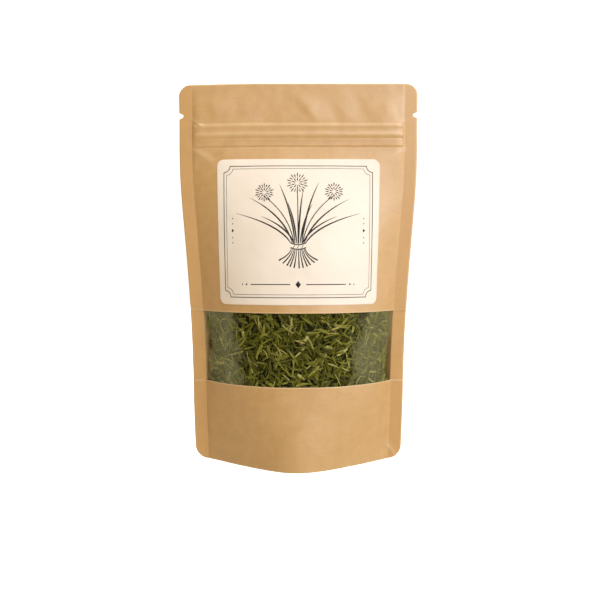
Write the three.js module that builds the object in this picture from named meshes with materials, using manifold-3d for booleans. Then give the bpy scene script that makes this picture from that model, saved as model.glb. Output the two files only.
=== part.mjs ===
// A filled stand-up pouch: kraft paper laminate with a clear window band, a press-to-close zip,
// a plain label and dried, cut chive leaf inside. Millimetres, +Z up. The pouch stands on z = 0
// with its origin under its middle, and its front faces -Y.
import * as THREE from 'three';
import { mergeVertices } from 'three/addons/utils/BufferGeometryUtils.js';
import Module from 'manifold-3d';

const wasm = await Module();
wasm.setup();

// The flat pouch, as it comes from the maker
const pouchWidth = 140;
const pouchHeight = 220;
const sealWidth = 7.5;
const gussetFold = 40;
const topCornerRadius = 7;
const bottomCornerRadius = 8;

// Sheets, and the room between pieces that touch
const wall = 0.7;
const gap = 0.3;

// The filled form: how far the front and back swell in the middle, the height where that ends,
// and the powers of its curve up the pouch and across it
const bellyDepth = 27.3;
const bellyTop = 186;
const bellyFade = 2.7;
const bellySection = 2.35;

// At the foot the sheets spread further and meet the seals more nearly straight, as a boat's
// sides do, up to the height where the full section begins. The gusset gathers them a little.
const footDepth = 3.5;
const footHeight = 45;
const footRounding = 0.33;
const footGather = 0.8;

// Window band
const windowBottom = 45.9;
const windowTop = 86.5;

// Zip band: the room it takes behind each sheet, and its relief pressed through the front
const zipBottom = 183;
const zipTop = 196.5;
const zipRoom = 1.6;
const zipSection = 30;
const zipFadeBottom = 147;
const zipFadeTop = 177;
const zipRidge = 190;
const zipGroove = 188;
const zipRelief = 0.35;
const zipSlope = 0.8;
const headerRoom = 0.2;

// The zip's own strips, with a rib on one and two lipped jaws on the other
const zipTrackHalf = 54;
const zipStripMargin = 0.5;
const stripThickness = 0.6;
const ribNeck = 0.3;
const ribHead = 0.7;
const ribShoulderY = 0.05;
const ribTipY = 0.5;
const jawInner = 1;
const jawOuter = 1.7;
const lipInner = 0.6;
const lipThickness = 0.3;

// Tear notches in the side seals
const notchHeight = 201;
const notchDepth = 2.4;
const notchRadius = 1.3;
const notchFlare = 0.6;

// Label
const labelWidth = 95;
const labelBottom = 91;
const labelTop = 175;
const labelThickness = 0.35;
const labelCorner = 4;

// Gusset: how far across it reaches, the flat middle it stands on, and the height of its sealed rim
const gussetReach = 0.93;
const gussetFlatAcross = 0.3;
const gussetFlatDeep = 0.4;
const gussetRimHeight = 6;
const gussetFoldCurve = 2.2;
const gussetRimCurve = 2.6;

// Dried leaf: a heaped core, and the cut slivers that stand out of it
const fillTop = 122;
const fillReach = 0.91;
const fillClearance = 1.5;
const heapDropAcross = 6;
const heapDropDeep = 4;
const leafRoom = 3;
const leastDepth = 0.8;
const leafThickness = 0.7;
const leafLength = [6, 10];
const leafWidth = [1.6, 2.4];
const leafArch = [0.2, 1.1];
const leafRise = [0.2, 1.1];
const leafEndShare = 0.55;
const leafRoll = 0.45;
const leastTip = 0.3;
const wallTip = 0.4;
const topTip = 0.7;
const topInset = 0.95;
const leafSpacing = 2;
const leafTries = 60;
const leafSeed = 41;
const windowLeaves = 190;
const backLeaves = 36;
const topLeaves = 26;

// How finely the sheets are divided, and how often a half width is halved to find it
const columnsAcross = 18;
const rowStep = 14;
const gussetCells = [14, 8];
const coreCells = [12, 4, 7];
const cornerSteps = 8;
const notchSteps = 6;
const arcSteps = 48;
const searchSteps = 40;

const half = pouchWidth / 2 - sealWidth;
const { lerp, smoothstep } = THREE.MathUtils;

function seededRandom(seed) {
  let state = seed;
  return () => {
    state = (state + 0x6d2b79f5) | 0;
    let mixed = Math.imul(state ^ (state >>> 15), 1 | state);
    mixed = (mixed + Math.imul(mixed ^ (mixed >>> 7), 61 | mixed)) ^ mixed;
    return ((mixed ^ (mixed >>> 14)) >>> 0) / 4294967296;
  };
}

// The filled form

// How much of the foot's form there is at a height: all at the ground, none above footHeight
function footShare(z) {
  return 1 - smoothstep(z, 0, footHeight);
}

// How far the contents push the sheet out in the middle of its width
function belly(z) {
  return footDepth * footShare(z) + bellyDepth * Math.max(0, 1 - (z / bellyTop) ** bellyFade);
}

// The belly's share of its depth at a share t of the half width, from the middle (0) to the seal
function bellyShare(t, z) {
  const full = 1 - t ** bellySection;
  const least = Math.hypot(1, footRounding);
  const boat = (least - Math.hypot(t, footRounding)) / (least - footRounding);
  return lerp(full, boat, footShare(z));
}

// How far the closed zip holds the sheet out, fading below it and towards the sealed top
function zipSpread(z) {
  const below = smoothstep(z, zipFadeBottom, zipFadeTop);
  return below * lerp(zipRoom, headerRoom, smoothstep(z, zipTop, pouchHeight));
}

// The form's depth at a share t of the half width, from the middle (0) to the seal (1): a full
// curve over the belly, and nearly flat with short ends at the zip
function bulge(t, z) {
  const out = Math.min(1, Math.abs(t));
  return Math.hypot(belly(z) * bellyShare(out, z), zipSpread(z) * (1 - out ** zipSection));
}

// Lengths along the section from the middle to each share of the half width, for a half width c
function arcTable(c, z) {
  const lengths = [0];
  for (let i = 1; i <= arcSteps; i += 1) {
    const rise = bulge(i / arcSteps, z) - bulge((i - 1) / arcSteps, z);
    lengths.push(lengths[i - 1] + Math.hypot(c / arcSteps, rise));
  }
  return lengths;
}

// At each height the half width is what keeps the sheet's own width, measured along the section
const sections = new Map();
function sectionAt(z) {
  if (!sections.has(z)) {
    const length = half - footGather * footShare(z);
    let low = half / 2;
    let high = half;
    for (let i = 0; i < searchSteps; i += 1) {
      const middle = (low + high) / 2;
      if (arcTable(middle, z)[arcSteps] > length) high = middle;
      else low = middle;
    }
    sections.set(z, { c: low, lengths: arcTable(low, z) });
  }
  return sections.get(z);
}

// The place across the pouch, and the share t, of a point that lies u along the sheet
function across(u, z) {
  const { c, lengths } = sectionAt(z);
  const along = Math.abs(u);
  if (along >= half) return { x: Math.sign(u) * (c + along - half), t: 1 };
  const full = (along / half) * lengths[arcSteps];
  const step = lengths.findIndex((length) => length > full);
  const share = (full - lengths[step - 1]) / (lengths[step] - lengths[step - 1]);
  const t = (step - 1 + share) / arcSteps;
  return { x: Math.sign(u) * t * c, t };
}

// Closed bodies

// Splits the cells of every second face the other way, so that opposite faces are split alike and
// a thin sheet keeps its thickness where it twists
function splitAlike(box) {
  const index = box.index.array;
  const turned = box.groups.filter((_, face) => face % 2 === 1);
  turned.forEach(({ start, count }) => {
    for (let i = start; i < start + count; i += 6) {
      const [a, b, d, , c] = index.slice(i, i + 5);
      index.set([a, b, c, a, c, d], i);
    }
  });
}

// A box divided into cells, each of whose points is carried to where map(a, b, c) says (0 to 1)
function mappedBox(nx, ny, nz, map) {
  const box = new THREE.BoxGeometry(1, 1, 1, nx, ny, nz);
  splitAlike(box);
  box.deleteAttribute('normal');
  box.deleteAttribute('uv');
  const geometry = mergeVertices(box, 1e-5);
  const position = geometry.attributes.position;
  for (let i = 0; i < position.count; i += 1) {
    const [x, y, z] = map(position.getX(i) + 0.5, position.getY(i) + 0.5, position.getZ(i) + 0.5);
    position.setXYZ(i, x, y, z);
  }
  return geometry;
}

function toSolid(geometry) {
  const bare = geometry.clone();
  bare.deleteAttribute('normal');
  bare.deleteAttribute('uv');
  const merged = mergeVertices(bare, 1e-5);
  return new wasm.Manifold(new wasm.Mesh({
    numProp: 3,
    vertProperties: new Float32Array(merged.attributes.position.array),
    triVerts: new Uint32Array(merged.index.array),
  }));
}

function toGeometry(solid) {
  const mesh = solid.getMesh();
  const geometry = new THREE.BufferGeometry();
  geometry.setAttribute('position', new THREE.BufferAttribute(mesh.vertProperties, 3));
  geometry.setIndex(new THREE.BufferAttribute(mesh.triVerts, 1));
  return geometry;
}

// Heights from one to another in even steps, both ends included
function heights(from, to, steps) {
  return Array.from({ length: steps + 1 }, (_, i) => lerp(from, to, i / steps));
}

// Places along the sheet: even steps between the seals, with each seal's outer edge beyond
const innerColumns = heights(-half, half, columnsAcross);
const allColumns = [-half - sealWidth, ...innerColumns, half + sealWidth];

// The zip's relief on the front, from its bottom up: a low land, a groove, a ridge and a low land
const zipProfile = [
  [zipBottom - zipSlope, 0],
  [zipBottom, zipRelief],
  [zipGroove - zipSlope, zipRelief],
  [zipGroove, 0],
  [zipRidge - zipSlope, 2 * zipRelief],
  [zipRidge + zipSlope, 2 * zipRelief],
  [zipRidge + 2 * zipSlope, zipRelief],
  [zipTop, zipRelief],
  [zipTop + zipSlope, 0],
];
const zipRows = zipProfile.map(([height]) => height);

function zipLift(z) {
  const found = zipProfile.find(([height]) => Math.abs(height - z) < 1e-6);
  return found ? found[1] : 0;
}

// A sheet over the given places and heights. side is -1 for the front and 1 for the back.
// from and to are how far its two faces lie outside the form.
function formedSheet(places, rows, side, from, to, lift = () => 0) {
  return mappedBox(places.length - 1, 1, rows.length - 1, (a, b, c) => {
    const u = places[Math.round(a * (places.length - 1))];
    const z = rows[Math.round(c * (rows.length - 1))];
    const { x, t } = across(u, z);
    const outside = side < 0 ? b < 0.5 : b > 0.5;
    const raised = Math.abs(u) < half && outside ? lift(z) : 0;
    return [x, side * (bulge(t, z) + (outside ? to + raised : from)), z];
  });
}

// Cutters

// What is left outside a rounded corner at (x, z), as a bar along Y. dx and dz point outwards.
function cornerCutter(x, z, dx, dz, radius) {
  const shape = new THREE.Shape();
  const over = 2;
  const arc = heights(0, Math.PI / 2, cornerSteps).map((angle) => [
    x + dx * radius * (Math.cos(angle) - 1),
    z + dz * radius * (Math.sin(angle) - 1),
  ]);
  const points = [
    ...arc,
    [x - dx * radius, z + dz * over],
    [x + dx * over, z + dz * over],
    [x + dx * over, z - dz * radius],
  ];
  const turn = dx * dz > 0 ? points : points.reverse();
  turn.forEach(([px, pz], i) => (i ? shape.lineTo(px, pz) : shape.moveTo(px, pz)));
  return barAlongY(shape);
}

// A tear notch: a short slot with a round end, reaching in from the side dx
function notchCutter(dx) {
  const shape = new THREE.Shape();
  const mouth = pouchWidth / 2 + 1;
  const centre = pouchWidth / 2 - notchDepth + notchRadius;
  shape.moveTo(dx * mouth, notchHeight - notchRadius - notchFlare);
  shape.lineTo(dx * mouth, notchHeight + notchRadius + notchFlare);
  heights(Math.PI / 2, 1.5 * Math.PI, notchSteps).forEach((angle) => {
    const reach = centre + notchRadius * Math.cos(angle);
    shape.lineTo(dx * reach, notchHeight + notchRadius * Math.sin(angle));
  });
  return barAlongY(shape);
}

// A shape drawn in X and Z, made a bar that runs right through the pouch along Y
function barAlongY(shape) {
  const length = 2 * (bellyDepth + 10);
  const bar = new THREE.ExtrudeGeometry(shape, { depth: length, bevelEnabled: false });
  bar.rotateX(Math.PI / 2);
  bar.translate(0, length / 2, 0);
  return toSolid(bar);
}

function cut(geometry, cutters) {
  return toGeometry(cutters.reduce((solid, cutter) => solid.subtract(cutter), toSolid(geometry)));
}

function topCutters() {
  return [-1, 1].flatMap((side) => [
    cornerCutter(side * pouchWidth / 2, pouchHeight, side, 1, topCornerRadius),
    notchCutter(side),
  ]);
}

function bottomCutters() {
  const edge = across(half + sealWidth, 0).x;
  return [-1, 1].map((side) => cornerCutter(side * edge, 0, side, -1, bottomCornerRadius));
}

// The sheets

const sealed = gap / 2;
const panelFaces = [sealed, sealed + wall];

function evenRows(from, to) {
  return heights(from, to, Math.round((to - from) / rowStep));
}

const labelRows = evenRows(labelBottom, labelTop);

function frontUpperPanel() {
  const rows = [
    windowTop + gap / 2,
    ...labelRows,
    (labelTop + zipRows[0]) / 2,
    ...zipRows,
    ...heights(zipTop, pouchHeight, 4).slice(1),
  ];
  return cut(formedSheet(allColumns, rows, -1, ...panelFaces, zipLift), topCutters());
}

function frontLowerPanel() {
  const rows = evenRows(0, windowBottom - gap / 2);
  return cut(formedSheet(allColumns, rows, -1, ...panelFaces), bottomCutters());
}

function windowFilm() {
  const rows = evenRows(windowBottom + gap / 2, windowTop - gap / 2);
  return formedSheet(allColumns, rows, -1, ...panelFaces);
}

function backPanel() {
  const rows = [
    ...evenRows(0, zipFadeTop),
    ...heights(zipBottom, zipTop, 2),
    ...heights(zipTop, pouchHeight, 4).slice(1),
  ];
  const sheet = formedSheet(allColumns, rows, 1, ...panelFaces);
  return cut(sheet, [...topCutters(), ...bottomCutters()]);
}

function label() {
  const edgePlace = labelWidth / 2;
  const places = [-edgePlace, ...innerColumns.filter((u) => Math.abs(u) < edgePlace - 1), edgePlace];
  const inner = panelFaces[1] + gap;
  const sheet = formedSheet(places, labelRows, -1, inner, inner + labelThickness);
  const corners = [[labelBottom, -1], [labelTop, 1]].flatMap(([z, dz]) => [-1, 1].map((side) => {
    const edge = across(side * edgePlace, z).x;
    return cornerCutter(edge, z, side, dz, labelCorner);
  }));
  return cut(sheet, corners);
}

// The gusset: sealed along a curve that climbs to the fold's ends, flat on the ground in the middle

// How far a share lies past where something begins, as a share of what is left
function past(share, begins) {
  return Math.max(0, (Math.abs(share) - begins) / (1 - begins));
}

function gussetHeight(t, b) {
  const fold = gussetFold * past(t, gussetFlatAcross) ** gussetFoldCurve;
  const rim = lerp(gussetRimHeight, gussetFold, Math.abs(t) ** gussetRimCurve);
  return lerp(fold, Math.max(rim, fold), past(b, gussetFlatDeep) ** 2);
}

function bottomGusset() {
  return mappedBox(...gussetCells, 1, (a, b, c) => {
    const t = gussetReach * (2 * a - 1);
    const towards = 2 * b - 1;
    const z = gussetHeight(t, towards) + c * wall;
    const reach = bulge(t, z) + sealed - gap;
    return [t * sectionAt(z).c, towards * reach, z];
  });
}

// The zip: a rib on the front strip held between two lipped jaws on the back strip

const stripBack = zipRoom + sealed - gap;
const stripFace = stripBack - stripThickness;
const stripLow = zipBottom + zipStripMargin - zipRidge;
const stripHigh = zipTop - zipStripMargin - zipRidge;

// A profile given as [y, height above the ridge] points, run along the pouch's width
function trackAlongX(profile) {
  const shape = new THREE.Shape(profile.map(([y, h]) => new THREE.Vector2(y, zipRidge + h)));
  const depth = 2 * zipTrackHalf;
  const bar = new THREE.ExtrudeGeometry(shape, { depth, bevelEnabled: false });
  const turn = new THREE.Matrix4().makeBasis(
    new THREE.Vector3(0, 1, 0),
    new THREE.Vector3(0, 0, 1),
    new THREE.Vector3(1, 0, 0),
  );
  bar.applyMatrix4(turn);
  bar.translate(-zipTrackHalf, 0, 0);
  return bar;
}

function zipRibTrack() {
  return trackAlongX([
    [-stripBack, stripLow], [-stripFace, stripLow],
    [-stripFace, -ribNeck], [ribShoulderY, -ribNeck],
    [ribShoulderY, -ribHead], [ribTipY, -ribNeck],
    [ribTipY, ribNeck], [ribShoulderY, ribHead],
    [ribShoulderY, ribNeck], [-stripFace, ribNeck],
    [-stripFace, stripHigh], [-stripBack, stripHigh],
  ]);
}

function zipGrooveTrack() {
  const lip = -stripFace + gap;
  const behindLip = lip + lipThickness;
  return trackAlongX([
    [stripBack, stripLow], [stripBack, stripHigh],
    [stripFace, stripHigh], [stripFace, jawOuter],
    [lip, jawOuter], [lip, lipInner],
    [behindLip, lipInner], [behindLip, jawInner],
    [stripFace, jawInner], [stripFace, -jawInner],
    [behindLip, -jawInner], [behindLip, -lipInner],
    [lip, -lipInner], [lip, -jawOuter],
    [stripFace, -jawOuter], [stripFace, stripLow],
  ]);
}

// The dried leaf

// The pouch's half width at a height, to the nearest millimetre, which is near enough for leaf
function halfWidthNear(z) {
  return sectionAt(Math.round(z)).c;
}

// The most that anything inside may reach towards the front or back at a place and height
function innerReach(x, z) {
  return bulge(x / halfWidthNear(z), z) + sealed - 1.5 * gap;
}

function coreReach(t, z) {
  return Math.max(leastDepth, bulge(t, z) + sealed - leafRoom);
}

// The heap's top at a share t across and a share b towards the front or back
function heapTop(t, b) {
  return fillTop - heapDropAcross * t * t - heapDropDeep * b * b;
}

function leafCore() {
  return mappedBox(...coreCells, (a, b, c) => {
    const t = fillReach * (2 * a - 1);
    const towards = 2 * b - 1;
    const floor = gussetHeight(t, towards) + wall + fillClearance;
    const z = lerp(floor, heapTop(t, towards), c);
    return [t * sectionAt(z).c, towards * coreReach(t, z), z];
  });
}

// One cut sliver: a narrow strip, pinched at both ends and arched, lying along X with +Z out
function sliver(length, width, arch) {
  return mappedBox(2, 1, 1, (a, b, c) => {
    const end = Math.abs(2 * a - 1);
    const spread = width * lerp(1, leafEndShare, end);
    return [
      length * (a - 0.5),
      spread * (b - 0.5),
      leafThickness * (c - 0.5) + arch * (1 - end * end),
    ];
  });
}

// Keeps what draw() gives unless it would lie across one already placed, until there are enough
function spreadOut(count, draw) {
  const placed = [];
  const kept = [];
  for (let tries = 0; kept.length < count && tries < leafTries * count; tries += 1) {
    const { geometry, spine } = draw();
    if (spine.every((p) => placed.every((q) => p.distanceTo(q) > leafSpacing))) {
      placed.push(...spine);
      kept.push(geometry);
    }
  }
  return kept;
}

// Lays a sliver at a point, along a direction turned about the outward one, tipped at one end.
// Its spine is a row of points along its middle.
function laidSliver(random, point, outward, tipMost) {
  const length = lerp(...leafLength, random());
  const width = lerp(...leafWidth, random());
  const geometry = sliver(length, width, lerp(...leafArch, random()));
  const out = outward.clone().normalize();
  const turn = new THREE.Quaternion().setFromUnitVectors(new THREE.Vector3(0, 0, 1), out);
  const spin = new THREE.Quaternion().setFromAxisAngle(out, 2 * Math.PI * random());
  geometry.rotateY(-lerp(leastTip, 1, random()) * tipMost);
  geometry.rotateX(lerp(-leafRoll, leafRoll, random()));
  geometry.applyQuaternion(turn);
  geometry.applyQuaternion(spin);
  geometry.translate(point.x, point.y, point.z);
  const along = new THREE.Vector3(1, 0, 0).applyQuaternion(turn).applyQuaternion(spin);
  const spine = heights(-length / 2, length / 2, 4).map((s) => point.clone().addScaledVector(along, s));
  return { geometry: pressedInside(geometry), spine };
}

// Moves a sliver inwards by as much as any of its points would pass the pouch's inner face
function pressedInside(geometry) {
  const position = geometry.attributes.position;
  let over = 0;
  let side = 0;
  for (let i = 0; i < position.count; i += 1) {
    const y = position.getY(i);
    const past = Math.abs(y) - innerReach(position.getX(i), position.getZ(i));
    if (past > over) {
      over = past;
      side = Math.sign(y);
    }
  }
  geometry.translate(0, -side * over, 0);
  return geometry;
}

function wallSliver(random, side, low, high) {
  const z = lerp(low, high, random());
  const t = fillReach * (2 * random() - 1);
  const c = halfWidthNear(z);
  const nearby = 0.01;
  const slope = (bulge(t + nearby, z) - bulge(t - nearby, z)) / (2 * nearby * c);
  const depth = coreReach(t, z) + lerp(...leafRise, random());
  const point = new THREE.Vector3(t * c, side * depth, z);
  return laidSliver(random, point, new THREE.Vector3(-slope, side, 0), wallTip);
}

function topSliver(random) {
  const t = topInset * fillReach * (2 * random() - 1);
  const towards = topInset * (2 * random() - 1);
  const z = heapTop(t, towards);
  const point = new THREE.Vector3(t * halfWidthNear(z), towards * coreReach(t, z), z);
  return laidSliver(random, point, new THREE.Vector3(0, 0, 1), topTip);
}

// Joins the slivers to the core and keeps the one body, without loose scraps or sealed hollows
function chiveLeafFill() {
  const random = seededRandom(leafSeed);
  const slivers = [
    ...spreadOut(windowLeaves, () => wallSliver(random, -1, windowBottom - 3, windowTop + 3)),
    ...spreadOut(backLeaves, () => wallSliver(random, 1, gussetFold, fillTop - leafLength[1])),
    ...spreadOut(topLeaves, () => topSliver(random)),
  ];
  const joined = wasm.Manifold.union([leafCore(), ...slivers].map(toSolid));
  const bodies = joined.decompose();
  const whole = bodies.reduce((a, b) => (a.volume() > b.volume() ? a : b));
  return toGeometry(whole);
}

// Materials

const kraft = (name) => {
  const material = new THREE.MeshStandardMaterial({ color: 0xcfa26a, roughness: 0.6 });
  material.name = name;
  return material;
};

const materials = {
  kraftFront: kraft('kraft front'),
  kraftBack: kraft('kraft back'),
  kraftBase: kraft('kraft base'),
  film: new THREE.MeshStandardMaterial({
    color: 0xeef0ea, roughness: 0.08, transparent: true, opacity: 0.2,
  }),
  cream: new THREE.MeshStandardMaterial({ color: 0xf1e8d6, roughness: 0.5 }),
  zip: new THREE.MeshStandardMaterial({ color: 0xe8e6de, roughness: 0.35 }),
  leaf: new THREE.MeshStandardMaterial({ color: 0x5b6a2c, roughness: 0.8 }),
};

function piece(name, geometry, material) {
  const shown = geometry.index ? geometry.toNonIndexed() : geometry;
  shown.computeVertexNormals();
  const mesh = new THREE.Mesh(shown, material);
  mesh.name = name;
  return mesh;
}

const pouch = new THREE.Group();
pouch.name = 'stand_up_pouch';
pouch.add(
  piece('front_upper_panel', frontUpperPanel(), materials.kraftFront),
  piece('front_lower_panel', frontLowerPanel(), materials.kraftFront),
  piece('window_film', windowFilm(), materials.film),
  piece('back_panel', backPanel(), materials.kraftBack),
  piece('bottom_gusset', bottomGusset(), materials.kraftBase),
  piece('zip_rib_track', zipRibTrack(), materials.zip),
  piece('zip_groove_track', zipGrooveTrack(), materials.zip),
  piece('label', label(), materials.cream),
  piece('chive_leaf_fill', chiveLeafFill(), materials.leaf),
);

export default pouch;
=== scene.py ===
"""Looks of a filled stand-up pouch: kraft laminate, a clear window band, a zip, a label and dried chive leaf.

The pouch stands on z = 0 with its front towards -Y. Its sizes are millimetres, and every piece is scaled to
Blender's metres once its mesh is whole. The studio's sizes are metres. A place on a sheet is given as (u, z):
u is measured across the flat sheet from its middle, and z is its height.
"""
import logging
import math
from dataclasses import dataclass, field
from enum import Enum
from typing import Callable, Optional, Sequence, Union

import bmesh
import bpy
import numpy as np
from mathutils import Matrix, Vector


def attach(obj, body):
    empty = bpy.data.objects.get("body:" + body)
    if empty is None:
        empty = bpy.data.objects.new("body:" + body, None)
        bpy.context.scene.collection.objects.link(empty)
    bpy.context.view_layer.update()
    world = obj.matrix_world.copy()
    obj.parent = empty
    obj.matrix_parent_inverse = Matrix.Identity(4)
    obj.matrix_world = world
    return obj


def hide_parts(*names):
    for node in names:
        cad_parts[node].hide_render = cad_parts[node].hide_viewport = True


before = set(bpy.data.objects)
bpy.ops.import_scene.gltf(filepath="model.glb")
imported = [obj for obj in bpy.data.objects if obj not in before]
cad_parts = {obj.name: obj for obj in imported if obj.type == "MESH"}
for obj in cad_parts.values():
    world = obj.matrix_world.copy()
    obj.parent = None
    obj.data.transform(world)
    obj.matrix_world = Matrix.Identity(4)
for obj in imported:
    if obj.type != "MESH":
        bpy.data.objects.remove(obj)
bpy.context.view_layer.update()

Array = np.ndarray
Places = tuple[Array, Array]
Pair = tuple[float, float]
Triple = tuple[float, float, float]
Colour = tuple[float, float, float, float]
Mesh = bmesh.types.BMesh
Piece = bpy.types.Object
Material = bpy.types.Material
Socket = bpy.types.NodeSocket
# A printed line: its path, its width along it and its number of steps
Line = tuple[Callable, Callable, int]

log = logging.getLogger("pouch")

MM = 0.001
BODY = "root"
FLAT_MAP = "flat"


class Side(Enum):
    """Which way a sheet faces along Y."""

    FRONT = -1
    BACK = 1


class Slot(Enum):
    """The record's material slots."""

    KRAFT_FRONT = "kraft_front"
    KRAFT_BACK = "kraft_back"
    KRAFT_BASE = "kraft_base"
    FILM = "clear_film"
    ZIP = "zip_plastic"
    LABEL = "label_paper"
    LEAF = "chive_leaf"


def smoothstep(value: Array, start: float, end: float) -> Array:
    """Rises smoothly from 0 at start to 1 at end."""
    share = np.clip((value - start) / (end - start), 0.0, 1.0)
    return share * share * (3.0 - 2.0 * share)


def lerp(start: Array, end: Array, share: Array) -> Array:
    """Goes straight from start to end as share goes from 0 to 1."""
    return start + (end - start) * share


def bell(distance: Array, width: float) -> Array:
    """Falls smoothly from 1 at no distance to almost 0 at twice the width."""
    return np.exp(-(distance / width) ** 2)


def stations(*marks: Pair) -> list[float]:
    """Gives places in rising order, closer together where more detail is wanted.

    Args:
        marks: (place, step) pairs. Each step is the spacing from its place to the next mark.

    Returns:
        The places, from the first mark to the last.
    """
    places = []
    for (start, step), (end, _) in zip(marks, marks[1:]):
        count = max(1, round((end - start) / step))
        places += [start + (end - start) * i / count for i in range(count)]
    return places + [marks[-1][0]]


def mirrored(*marks: Pair) -> list[float]:
    """Gives stations from the middle outwards on both sides, for marks that start at 0."""
    right = stations(*marks)
    return [-place for place in reversed(right[1:])] + right


@dataclass(frozen=True)
class Ripple:
    """Gentle unevenness of a sheet: plane waves of seeded directions and phases, added up."""

    height: float
    wavelength: float
    seed: int
    waves: int = 12
    shortest: float = 0.7
    longest: float = 1.6

    def at(self, u: Array, z: Array) -> Array:
        """Gives the unevenness at each place."""
        draw = np.random.default_rng(self.seed)
        total = np.zeros_like(u)
        for _ in range(self.waves):
            angle, phase = draw.uniform(0, 2 * math.pi, 2)
            length = self.wavelength * draw.uniform(self.shortest, self.longest)
            along = u * math.cos(angle) + z * math.sin(angle)
            total += np.sin(2 * math.pi * along / length + phase)
        return self.height * total / math.sqrt(self.waves / 2)


@dataclass(frozen=True)
class Crease:
    """A straight crease pressed into a sheet.

    Attributes:
        start, end: its two ends as (u, z).
        lift: how far it stands out, or in if negative.
        width: how far from its line it fades.
    """

    start: Pair
    end: Pair
    lift: float
    width: float

    def at(self, u: Array, z: Array) -> Array:
        """Gives the crease's lift at each place, sharp on its line and fading off both ways."""
        du, dz = self.end[0] - self.start[0], self.end[1] - self.start[1]
        share = ((u - self.start[0]) * du + (z - self.start[1]) * dz) / (du * du + dz * dz)
        share = np.clip(share, 0.0, 1.0)
        far = np.hypot(u - self.start[0] - share * du, z - self.start[1] - share * dz)
        return self.lift * np.exp(-far / self.width)


@dataclass(frozen=True)
class Dent:
    """A soft dent or swelling of a sheet, turned and longer one way than the other."""

    centre: Pair
    lift: float
    reach: Pair
    turn: float = 0.0

    def at(self, u: Array, z: Array) -> Array:
        """Gives the dent's lift at each place."""
        angle = math.radians(self.turn)
        du, dz = u - self.centre[0], z - self.centre[1]
        along = (du * math.cos(angle) + dz * math.sin(angle)) / self.reach[0]
        beside = (dz * math.cos(angle) - du * math.sin(angle)) / self.reach[1]
        return self.lift * np.exp(-along * along - beside * beside)


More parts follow.
